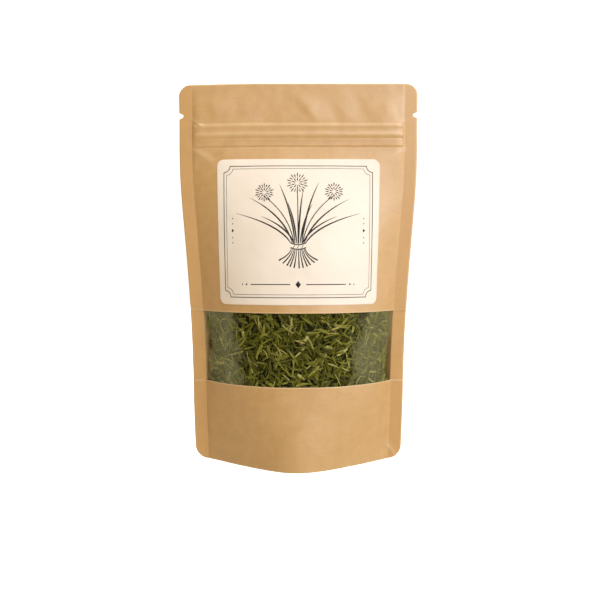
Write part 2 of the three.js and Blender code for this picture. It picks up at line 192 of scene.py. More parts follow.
@dataclass
class PouchForm:
    """The filled pouch's form: the surface that its sheets follow, and the way along it.

    The values down to header_room are the solid model's own. The sheets keep their flat width, measured along
    the surface, so the pouch is narrower where it is fuller.
    """

    width: float = 140.0
    height: float = 220.0
    seal: float = 7.5
    belly_depth: float = 27.3
    belly_top: float = 186.0
    belly_fade: float = 2.7
    belly_section: float = 2.35
    foot_depth: float = 3.5
    foot_height: float = 45.0
    foot_rounding: float = 0.33
    foot_gather: float = 0.8
    zip_top: float = 196.5
    zip_room: float = 1.6
    zip_section: float = 30.0
    zip_fade_bottom: float = 147.0
    zip_fade_top: float = 177.0
    header_room: float = 0.2
    fullness: float = 1.018
    sheet_out: float = 0.24
    sag: float = 0.4
    lean: float = 0.8
    lean_from: float = 22.0
    level_step: float = 1.0
    share_steps: int = 160
    search_steps: int = 40
    cell_margin: float = 0.001
    probe: float = 0.4
    half: float = field(init=False)
    levels: Array = field(init=False)
    half_widths: Array = field(init=False)
    share_table: Array = field(init=False)

    def __post_init__(self) -> None:
        """Works out the half width at each level, and the share of it at each length along the sheet."""
        self.half = self.width / 2 - self.seal
        self.levels = np.linspace(0, self.height, round(self.height / self.level_step) + 1)
        shares = np.linspace(0, 1, self.share_steps + 1)
        rises = np.diff(self.bulge(shares[None, :], self.levels[:, None]), axis=1)
        wanted = self.half - self.foot_gather * self.foot_share(self.levels)
        low = np.full_like(self.levels, self.half / 2)
        high = np.full_like(self.levels, self.half)
        for _ in range(self.search_steps):
            middle = (low + high) / 2
            too_long = np.hypot(middle[:, None] / self.share_steps, rises).sum(axis=1) > wanted
            high = np.where(too_long, middle, high)
            low = np.where(too_long, low, middle)
        self.half_widths = low
        lengths = np.cumsum(np.hypot(low[:, None] / self.share_steps, rises), axis=1)
        lengths = np.hstack([np.zeros((len(low), 1)), lengths]) / lengths[:, -1:]
        self.share_table = np.array([np.interp(shares, row, shares) for row in lengths])

    def foot_share(self, z: Array) -> Array:
        """Gives how much of the foot's form there is at a height: all at the ground, none above."""
        return 1 - smoothstep(z, 0, self.foot_height)

    def belly(self, z: Array) -> Array:
        """Gives how far the contents push a sheet out in the middle of its width."""
        fall = np.clip(1 - (np.clip(z, 0, None) / self.belly_top) ** self.belly_fade, 0, None)
        return self.foot_depth * self.foot_share(z) + self.belly_depth * fall

    def zip_spread(self, z: Array) -> Array:
        """Gives how far the closed zip holds a sheet out."""
        above = smoothstep(z, self.zip_top, self.height)
        below = smoothstep(z, self.zip_fade_bottom, self.zip_fade_top)
        return below * lerp(self.zip_room, self.header_room, above)

    def between_seals(self, u: Array, fade: float) -> Array:
        """Gives 1 between the side seals and 0 in them, fading over a distance inside them."""
        return 1 - smoothstep(np.abs(u), self.half - fade, self.half)

    def bulge(self, share: Array, z: Array) -> Array:
        """Gives the form's depth at a share of the half width, from the middle (0) to the seal (1)."""
        out = np.minimum(1.0, np.abs(share))
        full = 1 - out ** self.belly_section
        least = math.hypot(1, self.foot_rounding)
        boat = (least - np.hypot(out, self.foot_rounding)) / (least - self.foot_rounding)
        belly = self.belly(z) * lerp(full, boat, self.foot_share(z))
        return np.hypot(belly, self.zip_spread(z) * (1 - out ** self.zip_section))

    def half_width(self, z: Array) -> Array:
        """Gives the distance from the middle to the seals' inner edge at each height."""
        return np.interp(z, self.levels, self.half_widths)

    def across(self, u: Array, z: Array) -> Places:
        """Finds where a place along the sheet lies across the pouch.

        Args:
            u: the place along the flat sheet.
            z: its height.

        Returns:
            Its x, and its share of the half width, which is 1 in the seals.
        """
        along = np.abs(u)
        level = np.clip(z / self.level_step, 0, len(self.levels) - 1 - self.cell_margin)
        step = np.clip(along / self.half, 0, 1) * (self.share_steps - self.cell_margin)
        i, j = level.astype(int), step.astype(int)
        p, q = level - i, step - j
        table = self.share_table
        lower = lerp(table[i, j], table[i, j + 1], q)
        upper = lerp(table[i + 1, j], table[i + 1, j + 1], q)
        share = np.where(along >= self.half, 1.0, lerp(lower, upper, p))
        x = np.sign(u) * (share * self.half_width(z) + np.maximum(0.0, along - self.half))
        return x, share

    def surface(self, u: Array, z: Array, side: Side, lift: Array = 0.0) -> Array:
        """Gives points of a sheet's outer face.

        Args:
            u: places along the flat sheet.
            z: their heights.
            side: the front or the back sheet.
            lift: how far each point stands out beyond the plain form.

        Returns:
            One x, y, z row for each place.
        """
        x, share = self.across(u, z)
        y = side.value * (self.bulge(share, z) * self.fullness + self.sheet_out + lift)
        dip = self.sag + self.lean * smoothstep(-u, self.lean_from, self.width / 2)
        dip = dip * smoothstep(z, self.height / 2, self.height)
        return np.stack([x, y, z - dip], axis=-1)

    def outward(self, u: Array, z: Array, side: Side, lift: Callable[[Array, Array], Array]) -> Array:
        """Gives the unit directions that point out of a sheet at each place."""
        step = self.probe

        def point(du: float, dz: float) -> Array:
            """Gives the surface's points beside the places."""
            return self.surface(u + du, z + dz, side, lift(u + du, z + dz))

        across = point(step, 0) - point(-step, 0)
        up = point(0, step) - point(0, -step)
        normal = np.cross(across, up) * -side.value
        return normal / np.linalg.norm(normal, axis=-1, keepdims=True)

    def offset(self, u: Array, z: Array, side: Side, lift: Callable, out: Array) -> Array:
        """Gives points that lie a distance outside a sheet's outer face, along its own normal.

        Args:
            u: places along the flat sheet.
            z: their heights.
            side: the front or the back sheet.
            lift: the sheet's own relief, as a function of u and z.
            out: the distance outside the face, negative inside.

        Returns:
            One x, y, z row for each place.
        """
        normal = self.outward(u, z, side, lift)
        return self.surface(u, z, side, lift(u, z)) + normal * np.reshape(out, (-1, 1))


# Mesh helpers

def rounded(u: Array, z: Array, inner_u: Array, inner_z: Array, radius: float) -> Places:
    """Rounds the corners of a rectangle, moving the places near each corner along with it.

    Args:
        u: places across, from the rectangle's middle.
        z: places up, from its middle.
        inner_u: how far across the corners' rounding starts.
        inner_z: how far up it starts.
        radius: the corners' radius.

    Returns:
        The places on the rounded rectangle.
    """
    beside = np.clip((np.abs(u) - inner_u) / radius, 0, 1)
    beyond = np.clip((np.abs(z) - inner_z) / radius, 0, 1)
    near = (beside > 0) & (beyond > 0)
    round_u = inner_u + radius * beside * np.sqrt(1 - beyond ** 2 / 2)
    round_z = inner_z + radius * beyond * np.sqrt(1 - beside ** 2 / 2)
    return np.where(near, np.sign(u) * round_u, u), np.where(near, np.sign(z) * round_z, z)


def grid_places(bm: Mesh, columns: Sequence[float], rows: Sequence[float]) -> Places:
    """Makes a flat grid with a vertex at each column and row.

    Args:
        bm: the mesh to make it in, still empty.
        columns: the columns' places, from the left to the right.
        rows: the rows' heights, from the bottom up.

    Returns:
        Each vertex's column place and its row height.
    """
    bmesh.ops.create_grid(bm, x_segments=len(columns) - 1, y_segments=len(rows) - 1, size=1.0)
    spots = np.array([vertex.co[:2] for vertex in bm.verts])
    steps = (spots + 1) / 2 * [len(columns) - 1, len(rows) - 1]
    index = steps.round().astype(int)
    return np.asarray(columns)[index[:, 0]], np.asarray(rows)[index[:, 1]]


def move_to(bm: Mesh, points: Array) -> None:
    """Moves each vertex to its own point."""
    for vertex, point in zip(bm.verts, points):
        vertex.co = point


def paint(bm: Mesh, name: str, values: Array) -> None:
    """Keeps one number for each vertex as a named attribute."""
    layer = bm.verts.layers.float.new(name)
    for vertex, value in zip(bm.verts, np.broadcast_to(values, len(bm.verts))):
        vertex[layer] = float(value)


def lay_map(bm: Mesh, places: Array) -> None:
    """Gives each vertex its place, one row each, in the UV map."""
    layer = bm.loops.layers.uv.new(FLAT_MAP)
    bm.verts.index_update()
    for face in bm.faces:
        for loop in face.loops:
            loop[layer].uv = places[loop.vert.index]


def unwrap(bm: Mesh, u: Array, z: Array, size: float) -> None:
    """Lays the flat places, divided by a size and centred across, into the UV map that patterns follow."""
    lay_map(bm, np.stack([u / size + 0.5, z / size], axis=-1))


def to_piece(bm: Mesh, name: str, materials: Sequence[Material]) -> Piece:
    """Turns a finished mesh in millimetres into a shaded object in metres.

    Args:
        bm: the mesh, which is freed.
        name: the piece's name.
        materials: its materials, the main one first.

    Returns:
        The new object, at the origin, unturned and unscaled.
    """
    bmesh.ops.scale(bm, vec=(MM, MM, MM), verts=bm.verts)
    mesh = bpy.data.meshes.new(name)
    bm.to_mesh(mesh)
    bm.free()
    mesh.polygons.foreach_set("use_smooth", [True] * len(mesh.polygons))
    for material in materials:
        mesh.materials.append(material)
    piece = bpy.data.objects.new(name, mesh)
    bpy.context.scene.collection.objects.link(piece)
    return piece


def thicken(piece: Piece, thickness: float, offset: float, rim: int = 0) -> None:
    """Gives a sheet its thickness.

    Args:
        piece: the sheet.
        thickness: in millimetres.
        offset: -1 for all of it behind the face, 1 for all in front, 0 for half each.
        rim: how many materials on from a face's own the rim's is.
    """
    solidify = piece.modifiers.new("thickness", "SOLIDIFY")
    solidify.thickness = thickness * MM
    solidify.offset = offset
    solidify.use_even_offset = True
    solidify.thickness_clamp = 1.0
    solidify.material_offset_rim = rim


def hand_over(piece: Piece, slot: Slot, *nodes: str) -> None:
    """Makes a piece ride on the pouch, and says which nodes of the model it stands for."""
    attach(piece, BODY)
    if nodes:
        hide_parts(*nodes)
    depsgraph = bpy.context.evaluated_depsgraph_get()
    shown = piece.evaluated_get(depsgraph).to_mesh()
    shown.calc_loop_triangles()
    log.info("%s: %d triangles, for %s", piece.name, len(shown.loop_triangles), ", ".join(nodes) or "no node")


# Shader helpers

MIX_FACTOR = 0
MIX_A = 6
MIX_B = 7
MIX_RESULT = 2


def srgb(red: float, green: float, blue: float) -> Colour:
    """Turns a colour given as 0 to 255 on a screen into Blender's linear values, by the sRGB formula."""
    def linear(value: float) -> float:
        """Turns one channel into its linear value."""
        share = value / 255
        return share / 12.92 if share <= 0.04045 else ((share + 0.055) / 1.055) ** 2.4
    return (linear(red), linear(green), linear(blue), 1.0)


class Signal:
    """A number that varies over a surface. Python's arithmetic on it adds Math nodes."""

    def __init__(self, shader: "Shader", socket: Socket) -> None:
        """Wraps an output socket of a shader's tree."""
        self.shader = shader
        self.socket = socket

    def _math(self, operation: str, *values: Union["Signal", float]) -> "Signal":
        """Adds a Math node."""
        sockets = dict(enumerate(values))
        return self.shader.signal("ShaderNodeMath", {"operation": operation}, sockets)

    def __add__(self, other: Union["Signal", float]) -> "Signal":
        """Adds."""
        return self._math("ADD", self, other)

    __radd__ = __add__

    def __sub__(self, other: Union["Signal", float]) -> "Signal":
        """Subtracts."""
        return self._math("SUBTRACT", self, other)

    def __rsub__(self, other: float) -> "Signal":
        """Subtracts from a number."""
        return self._math("SUBTRACT", other, self)

    def __mul__(self, other: Union["Signal", float]) -> "Signal":
        """Multiplies."""
        return self._math("MULTIPLY", self, other)

    __rmul__ = __mul__

    def scaled(self, spread: float, least: float) -> "Signal":
        """Multiplies by a spread and adds a least value."""
        return self * spread + least

    def between(self, start: float, end: float) -> "Signal":
        """Rises smoothly from 0 to 1 as this goes from start to end."""
        settings = {"interpolation_type": "SMOOTHSTEP"}
        values = {"Value": self, "From Min": start, "From Max": end}
        return self.shader.signal("ShaderNodeMapRange", settings, values)


Value = Union[Signal, Socket, float, Sequence[float]]


@dataclass(frozen=True)
class Pattern:
    """A noise pattern.

    Attributes:
        scale: how fine it is.
        detail: how many layers of finer noise it has.
        roughness: how strong the finer layers are.
        stretch: what a place is multiplied by along each axis, or divided by where the pattern is turned.
        turn: how far it is turned about Z, in degrees.
    """

    scale: float = 1.0
    detail: float = 3.0
    roughness: float = 0.5
    stretch: Optional[Triple] = None
    turn: Optional[float] = None


class Shader:
    """A new material and the ways to add nodes to it."""

    def __init__(self, name: str) -> None:
        """Starts an empty material."""
        self.material = bpy.data.materials.new(name)
        self.material.use_nodes = True
        self.tree = self.material.node_tree
        self.tree.nodes.clear()

    def node(self, kind: str, settings: Optional[dict] = None,
             sockets: Optional[dict] = None) -> bpy.types.Node:
        """Adds a node.

        Args:
            kind: the node's type.
            settings: its own settings, set first. "stops" gives a ramp's (position, colour) pairs.
            sockets: values or links for its inputs, by name or number.

        Returns:
            The node.
        """
        node = self.tree.nodes.new(kind)
        for key, value in (settings or {}).items():
            if key == "stops":
                self._set_stops(node.color_ramp, value)
            else:
                setattr(node, key, value)
        for key, value in (sockets or {}).items():
            self._feed(node.inputs[key], value)
        return node

    def _feed(self, socket: Socket, value: Value) -> None:
        """Links a socket, or sets its value."""
        source = value.socket if isinstance(value, Signal) else value
        if isinstance(source, Socket):
            self.tree.links.new(source, socket)
        else:
            socket.default_value = source

    @staticmethod
    def _set_stops(ramp: bpy.types.ColorRamp, stops: Sequence[tuple[float, Colour]]) -> None:
        """Sets a ramp's stops, which start as two."""
        for _ in range(len(stops) - 2):
            ramp.elements.new(0.5)
        for element, (position, colour) in zip(ramp.elements, stops):
            element.position = position
            element.color = colour

    def signal(self, kind: str, settings: Optional[dict] = None, sockets: Optional[dict] = None,
               output: Union[int, str] = 0) -> Signal:
        """Adds a node and wraps one of its outputs."""
        return Signal(self, self.node(kind, settings, sockets).outputs[output])

    def attribute(self, name: str) -> Signal:
        """Reads a number kept on the mesh's vertices."""
        return self.signal("ShaderNodeAttribute", {"attribute_name": name}, output="Fac")

    def flat_place(self, size: float) -> Socket:
        """Gives the place on the flat sheet in millimetres, from its UV map."""
        return self.stretched(self.flat_map(), (size, size, size))

    def flat_map(self) -> Socket:
        """Gives the UV map's own place."""
        return self.node("ShaderNodeUVMap", {"uv_map": FLAT_MAP}).outputs[0]

    def object_place(self) -> Socket:
        """Gives the place on the object in millimetres."""
        place = self.node("ShaderNodeTexCoord").outputs["Object"]
        return self.stretched(place, (1 / MM, 1 / MM, 1 / MM))

    def stretched(self, place: Socket, scale: Sequence[float]) -> Socket:
        """Multiplies a place along each axis."""
        node = self.node("ShaderNodeVectorMath", {"operation": "MULTIPLY"}, {0: place, 1: scale})
        return node.outputs[0]

    def turned(self, place: Socket, angle: float, scale: Sequence[float]) -> Socket:
        """Turns a place back by an angle in degrees about Z, then divides it along each axis."""
        values = {"Vector": place, "Rotation": (0, 0, math.radians(angle)), "Scale": scale}
        return self.node("ShaderNodeMapping", {"vector_type": "TEXTURE"}, values).outputs[0]

    def noise(self, place: Socket, pattern: Pattern) -> Signal:
        """Adds a noise pattern, which runs from about 0.25 to 0.75."""
        if pattern.turn is not None:
            place = self.turned(place, pattern.turn, pattern.stretch)
        elif pattern.stretch:
            place = self.stretched(place, pattern.stretch)
        values = {"Vector": place, "Scale": pattern.scale, "Detail": pattern.detail,
                  "Roughness": pattern.roughness}
        return self.signal("ShaderNodeTexNoise", {}, values)

    def ramp(self, value: Signal, stops: Sequence[tuple[float, Colour]]) -> Socket:
        """Turns a number into a colour between stops."""
        return self.node("ShaderNodeValToRGB", {"stops": stops}, {"Fac": value}).outputs["Color"]

    def mix(self, factor: Value, first: Value, second: Value) -> Socket:
        """Mixes two colours."""
        sockets = {MIX_FACTOR: factor, MIX_A: first, MIX_B: second}
        return self.node("ShaderNodeMix", {"data_type": "RGBA"}, sockets).outputs[MIX_RESULT]

    def bump(self, height: Signal, depth: float, strength: float = 1.0) -> Socket:
        """Turns a height from 0 to 1 into a bumped normal, for a depth in millimetres."""
        values = {"Strength": strength, "Distance": depth * MM, "Height": height}
        return self.node("ShaderNodeBump", {}, values).outputs[0]

    def surface(self, **sockets: Value) -> Socket:
        """Adds the main surface shader. Socket names are written with underscores for spaces."""
        named = {key.replace("_", " "): value for key, value in sockets.items()}
        return self.node("ShaderNodeBsdfPrincipled", {}, named).outputs[0]

    def finished(self, surface: Socket) -> Material:
        """Links the surface to the output and gives the material."""
        self.node("ShaderNodeOutputMaterial", {}, {"Surface": surface})
        return self.material


# Finishes

@dataclass(frozen=True)
class KraftFinish:
    """Kraft paper under a thin satin film: long pale fibres, dark flecks, soft mottling, rubbed folds and a
    painted highlight on the zip's ribs.
    """

    name: str
    size: float
    tones: tuple = ((0.3, srgb(201, 152, 84)), (0.72, srgb(221, 175, 107)))
    tone_shares: tuple = (0.5, 0.16, 0.3, 0.35)
    tone_drop: float = 0.31
    fleck: Colour = srgb(160, 114, 62)
    fleck_cut: Pair = (0.69, 0.76)
    fleck_share: float = 0.45
    rubbed_and_highlight: Colour = srgb(240, 207, 158)
    rubbed_and_highlight_grain: Pair = (0.8, 0.5)
    pressed: Colour = srgb(211, 158, 79)
    pressed_share: float = 0.55
    relief_shares: tuple = (0.35, 0.3, 0.15)
    relief_depth: float = 0.045
    relief_strength: float = 0.7
    roughness: float = 0.37
    roughness_shares: Pair = (0.16, 0.1)
    ior: float = 1.7
    specular: float = 1.0
    sheen: float = 0.08
    sheen_roughness: float = 0.5
    mottle: Pattern = Pattern(0.16, 4, 0.6)
    streaks: Pattern = Pattern(1.0, 3, 0.55, (0.06, 1.5, 1))
    weave: Pattern = Pattern(1.0, 2, 0.5, (2.6, 0.32, 1), 24)
    cross: Pattern = Pattern(1.0, 2, 0.5, (2.2, 0.28, 1), -31)
    grain: Pattern = Pattern(3.2, 3, 0.65)
    flecks: Pattern = Pattern(1.0, 1, 0.5, (1.1, 0.35, 1), 12)

    def build(self) -> Material:
        """Makes the material."""
        shader = Shader(self.name)
        place = shader.flat_place(self.size)
        mottle = shader.noise(place, self.mottle)
        streaks = shader.noise(place, self.streaks)
        weave = shader.noise(place, self.weave)
        cross = shader.noise(place, self.cross)
        grain = shader.noise(place, self.grain)
        by_mottle, by_streaks, by_weave, by_grain = self.tone_shares
        tone = mottle * by_mottle + streaks * by_streaks + (weave + cross) * by_weave + grain * by_grain
        tone = tone - self.tone_drop
        colour = shader.ramp(tone, self.tones)
        flecks = shader.noise(place, self.flecks).between(*self.fleck_cut)
        colour = shader.mix(flecks * self.fleck_share, colour, self.fleck)
        colour = shader.mix(shader.attribute("pressed") * self.pressed_share, colour, self.pressed)
        # Paler where the paper is rubbed, plus a painted highlight on the zip's ribs, both read from one
        # attribute.
        wear_and_highlight = shader.attribute("wear_and_highlight") * grain.scaled(*self.rubbed_and_highlight_grain)
        colour = shader.mix(wear_and_highlight, colour, self.rubbed_and_highlight)
        by_weave, by_grain, by_streaks = self.relief_shares
        relief = weave * by_weave + cross * by_weave + grain * by_grain + streaks * by_streaks
        normal = shader.bump(relief, self.relief_depth, self.relief_strength)
        rough = mottle * self.roughness_shares[0] + grain * self.roughness_shares[1] + self.roughness
        return shader.finished(shader.surface(
            Base_Color=colour, Roughness=rough, Normal=normal,
            IOR=self.ior, Specular_IOR_Level=self.specular,
            Sheen_Weight=self.sheen, Sheen_Roughness=self.sheen_roughness,
        ))


@dataclass(frozen=True)
class FilmFinish:
    """Clear glossy film: see-through face on, with a painted reflection where it curves away to the sides: a
    milky layer that only the veil lamps light.

    Attributes:
        slack_shares: how much of the sweeping and of the fine pattern the film's relief has.
        painted_reflection_spread: how much the painted reflection varies with the sweeping pattern, and its
            least.
        sheen_start: how far the film has turned from the eye where the sheen starts and is whole.
        sheen_end: how far it has turned where the sheen starts to fall and has fallen.
        sheen_fall: how much of the sheen is lost by then.
        wander: how far those limits wander.
    """

    size: float
    name: str = "clear film"
    tint: Colour = (0.99, 0.99, 0.975, 1.0)
    painted_reflection_tint: Colour = (0.3, 0.3, 0.17, 1.0)
    haze: float = 0.004
    sheen: float = 0.2
    sheen_start: Pair = (0.12, 0.24)
    sheen_end: Pair = (0.38, 0.44)
    sheen_fall: float = 0.85
    wander: float = 0.12
    painted_reflection_spread: Pair = (0.9, 0.55)
    slack_shares: Pair = (0.8, 0.05)
    slack_depth: float = 0.6
    slack_strength: float = 0.5
    roughness: Pair = (0.1, 0.25)
    ior: float = 1.4
    sweep: Pattern = Pattern(1.0, 2, 0.5, (0.07, 0.05, 1))
    fine: Pattern = Pattern(0.9, 3, 0.6)

    def build(self) -> Material:
        """Makes the material."""
        shader = Shader(self.name)
        place = shader.flat_place(self.size)
        sweep = shader.noise(place, self.sweep)
        fine = shader.noise(place, self.fine)
        slack = sweep * self.slack_shares[0] + fine * self.slack_shares[1]
        normal = shader.bump(slack, self.slack_depth, self.slack_strength)
        clear = shader.node("ShaderNodeBsdfTransparent", {}, {"Color": self.tint}).outputs[0]
        rough = fine.scaled(*self.roughness)
        glossy = shader.surface(Base_Color=self.painted_reflection_tint, Roughness=rough, Normal=normal, IOR=self.ior)
        facing = shader.signal("ShaderNodeLayerWeight", {}, {"Blend": 0.5}, "Facing")
        facing = facing + (sweep - 0.5) * self.wander
        starts = facing.between(*self.sheen_start)
        ends = 1 - facing.between(*self.sheen_end) * self.sheen_fall
        # Painted reflection, partly real gloss: the milky layer is mixed in where the film turns from the
        # eye, standing in for reflected softbox light.
        factor = starts * ends * sweep.scaled(*self.painted_reflection_spread) * self.sheen + self.haze
        mixed = shader.node("ShaderNodeMixShader", {}, {0: factor, 1: clear, 2: glossy})
        return shader.finished(mixed.outputs[0])


@dataclass(frozen=True)
class LabelFinish:
    """Smooth cream label stock with a faint tooth."""

    size: float
    name: str = "cream label stock"
    tones: tuple = ((0.35, srgb(252, 239, 223)), (0.62, srgb(254, 242, 227)))
    tone_shares: Pair = (0.7, 0.3)
    tooth_depth: float = 0.02
    tooth_strength: float = 0.6
    roughness: Pair = (0.14, 0.4)
    ior: float = 1.45
    cloud: Pattern = Pattern(0.06, 3)
    tooth: Pattern = Pattern(2.4, 4, 0.65)

    def build(self) -> Material:
        """Makes the material."""
        shader = Shader(self.name)
        place = shader.flat_place(self.size)
        cloud = shader.noise(place, self.cloud)
        tooth = shader.noise(place, self.tooth)
        tone = cloud * self.tone_shares[0] + tooth * self.tone_shares[1]
        colour = shader.ramp(tone, self.tones)
        return shader.finished(shader.surface(
            Base_Color=colour, Roughness=tooth.scaled(*self.roughness),
            Normal=shader.bump(tooth, self.tooth_depth, self.tooth_strength), IOR=self.ior,
        ))


@dataclass(frozen=True)
class LeafFinish:
    """Dried chive leaf: each sliver has its own green, with fine ribs along it and paler cut ends."""

    name: str = "dried chive leaf"
    greens: tuple = (
        (0.0, srgb(40, 40, 2)), (0.3, srgb(74, 74, 8)), (0.58, srgb(106, 105, 20)),
        (0.82, srgb(142, 140, 58)), (1.0, srgb(184, 174, 104)),
    )
    rib_share: float = 0.22
    spot_share: float = 0.3
    end_share: float = 0.12
    relief_shares: Pair = (0.7, 0.3)
    rib_depth: float = 0.12
    rib_strength: float = 0.8
    roughness: Pair = (0.2, 0.42)
    specular: float = 0.25
    ribs: Pattern = Pattern(1.0, 2, 0.5, (1.5, 22.0, 1))
    spots: Pattern = Pattern(0.8, 3, 0.6)

    def build(self) -> Material:
        """Makes the material."""
        shader = Shader(self.name)
        ribs = shader.noise(shader.flat_map(), self.ribs)
        spots = shader.noise(shader.object_place(), self.spots)
        tint = shader.attribute("tint") + (ribs - 0.5) * self.rib_share + (spots - 0.5) * self.spot_share
        tint = tint + shader.attribute("end") * self.end_share
        colour = shader.ramp(tint, self.greens)
        relief = ribs * self.relief_shares[0] + spots * self.relief_shares[1]
        normal = shader.bump(relief, self.rib_depth, self.rib_strength)
        rough = spots.scaled(*self.roughness)
        return shader.finished(shader.surface(
            Base_Color=colour, Roughness=rough, Normal=normal, Specular_IOR_Level=self.specular,
        ))


@dataclass(frozen=True)
class PlainFinish:
    """A finish whose colour, roughness and relief all follow one pattern on the object.

    Attributes:
        tones: the colours, each with the pattern's value that it stands for.
        roughness: how much the roughness varies with the pattern, and its least.
        depth, strength: the relief's, none if the depth is 0.
    """

    name: str
    pattern: Pattern
    tones: tuple
    roughness: Pair
    depth: float = 0.0
    strength: float = 1.0
    ior: float = 1.5
    specular: float = 0.5

    def build(self) -> Material:
        """Makes the material."""
        shader = Shader(self.name)
        pattern = shader.noise(shader.object_place(), self.pattern)
        looks = {"Base_Color": shader.ramp(pattern, self.tones)}
        if self.depth:
            looks["Normal"] = shader.bump(pattern, self.depth, self.strength)
        return shader.finished(shader.surface(
            Roughness=pattern.scaled(*self.roughness), IOR=self.ior,
            Specular_IOR_Level=self.specular, **looks,
        ))


BACK_SEAM = srgb(222, 166, 82)
PAPER_EDGE = PlainFinish(
    "kraft cut edge", Pattern(2.5, 3, 0.6),
    ((0.35, srgb(205, 166, 116)), (0.65, srgb(236, 212, 172))), (0.0, 0.8),
)
INK = PlainFinish(
    "label ink", Pattern(1.8, 3, 0.6),
    ((0.4, srgb(22, 21, 19)), (0.7, srgb(52, 49, 44))), (0.2, 0.4), ior=1.45,
)
# Painted shade: the heap is coloured far darker than the slivers, so that the gaps between them look deep and
# shadowed.
HEAP_IN_PAINTED_SHADE = PlainFinish(
    "leaf heap", Pattern(1.0, 3, 0.6, (2.2, 0.7, 1), 35),
    ((0.42, srgb(26, 26, 4)), (0.7, srgb(64, 64, 16))), (0.2, 0.6), depth=0.5, specular=0.2,
)
ZIP_PLASTIC = PlainFinish(
    "milky zip plastic", Pattern(1.0, 2, 0.5, (0.04, 1.5, 1.5)),
    ((0.35, srgb(218, 214, 202)), (0.65, srgb(236, 233, 224))), (0.2, 0.22), depth=0.03, strength=0.6,
)


@dataclass(frozen=True)
class Finishes:
    """Every material of the pouch, made once."""

    kraft_front: Material
    kraft_back: Material
    kraft_base: Material
    edge: Material
    film: Material
    label: Material
    ink: Material
    leaf: Material
    heap: Material
    zip: Material

    @classmethod
    def make(cls, size: float) -> "Finishes":
        """Makes them all, for flat places that were divided by a size."""
        return cls(
            kraft_front=KraftFinish("kraft front", size).build(),
            kraft_back=KraftFinish("kraft back", size, pressed=BACK_SEAM).build(),
            kraft_base=KraftFinish("kraft base", size).build(),
            edge=PAPER_EDGE.build(),
            film=FilmFinish(size).build(),
            label=LabelFinish(size).build(),
            ink=INK.build(),
            leaf=LeafFinish().build(),
            heap=HEAP_IN_PAINTED_SHADE.build(),
            zip=ZIP_PLASTIC.build(),
        )


# Sub-assemblies

@dataclass(frozen=True)
class ZipRelief:
    """The zip pressed through the sheets: a low band with ribs on it and grooves beside and below them.

    Each rib or groove is its height, its half width and its lift.
    """

    bottom: float = 182.9
    top: float = 196.3
    band: float = 0.32
    edge: float = 0.7
    ribs: tuple = ((190.0, 1.35, 0.5), (195.0, 1.0, 0.26))
    grooves: tuple = ((187.9, 0.45, -0.28), (182.6, 0.6, -0.28))
    reach: float = 62.4
    fade: float = 1.0

    def at(self, u: Array, z: Array) -> Array:
        """Gives the relief at each place."""
        band = smoothstep(z, self.bottom - self.edge / 2, self.bottom + self.edge / 2)
        band = band * (1 - smoothstep(z, self.top - self.edge, self.top + self.edge))
        total = self.band * band
        for height, half, lift in (*self.ribs, *self.grooves):
            total = total + lift * bell(z - height, half)
        return total * (1 - smoothstep(np.abs(u), self.reach - self.fade, self.reach))


@dataclass(frozen=True)
class PaperWearAndHighlight:
    """How rubbed and pale the paper is at its folds and edges. Each pair is a strength and a width.

    Attributes:
        seam: beside the side seals' inner edges.
        seam_least: the share of it that is left below the header.
        seam_levels: the heights between which it grows to its whole.
        rib_highlight: the strength of the painted highlight on the zip's ribs, and rib_highlight_fade how far
            inside the seals it fades.
        edge: at the cut edges, and ground_gap how far the bottom one lies below the ground.
        window: at the window's edges.
        crease: the strength for each millimetre of a crease's lift.
        most: the most there can be.
    """

    seam: Pair = (0.2, 0.5)
    seam_least: float = 0.3
    seam_levels: Pair = (168.0, 190.0)
    rib_highlight: float = 0.3
    rib_highlight_fade: float = 3.0
    edge: Pair = (0.55, 0.45)
    ground_gap: float = 0.3
    window: Pair = (0.8, 0.5)
    crease: float = 0.6
    most: float = 0.85

    def at(self, shell: "KraftShell", u: Array, z: Array, side: Side) -> Array:
        """Gives the paleness at each place of one side's sheets: rubbed folds and edges, and the painted
        highlight on the zip's ribs.
        """
        form = shell.form
        grown = lerp(self.seam_least, 1.0, smoothstep(z, *self.seam_levels))
        seam = self.seam[0] * bell(np.abs(u) - form.half, self.seam[1]) * grown
        # Painted highlight: the zip's ribs are painted paler, as where light catches them.
        ribs = sum(self.rib_highlight * bell(z - height, width) for height, width, _ in shell.relief.ribs)
        ribs = ribs * form.between_seals(u, self.rib_highlight_fade)
        near_edge = np.minimum.reduce([form.width / 2 - np.abs(u), form.height - z, z + self.ground_gap])
        total = seam + ribs + self.edge[0] * bell(near_edge, self.edge[1])
        if side is Side.FRONT:
            near_window = np.minimum(np.abs(z - shell.window_top), np.abs(z - shell.window_bottom))
            total = total + self.window[0] * bell(near_window, self.window[1])
            total = total + sum(np.abs(crease.at(u, z)) * self.crease for crease in shell.creases)
        return np.clip(total, 0, self.most)


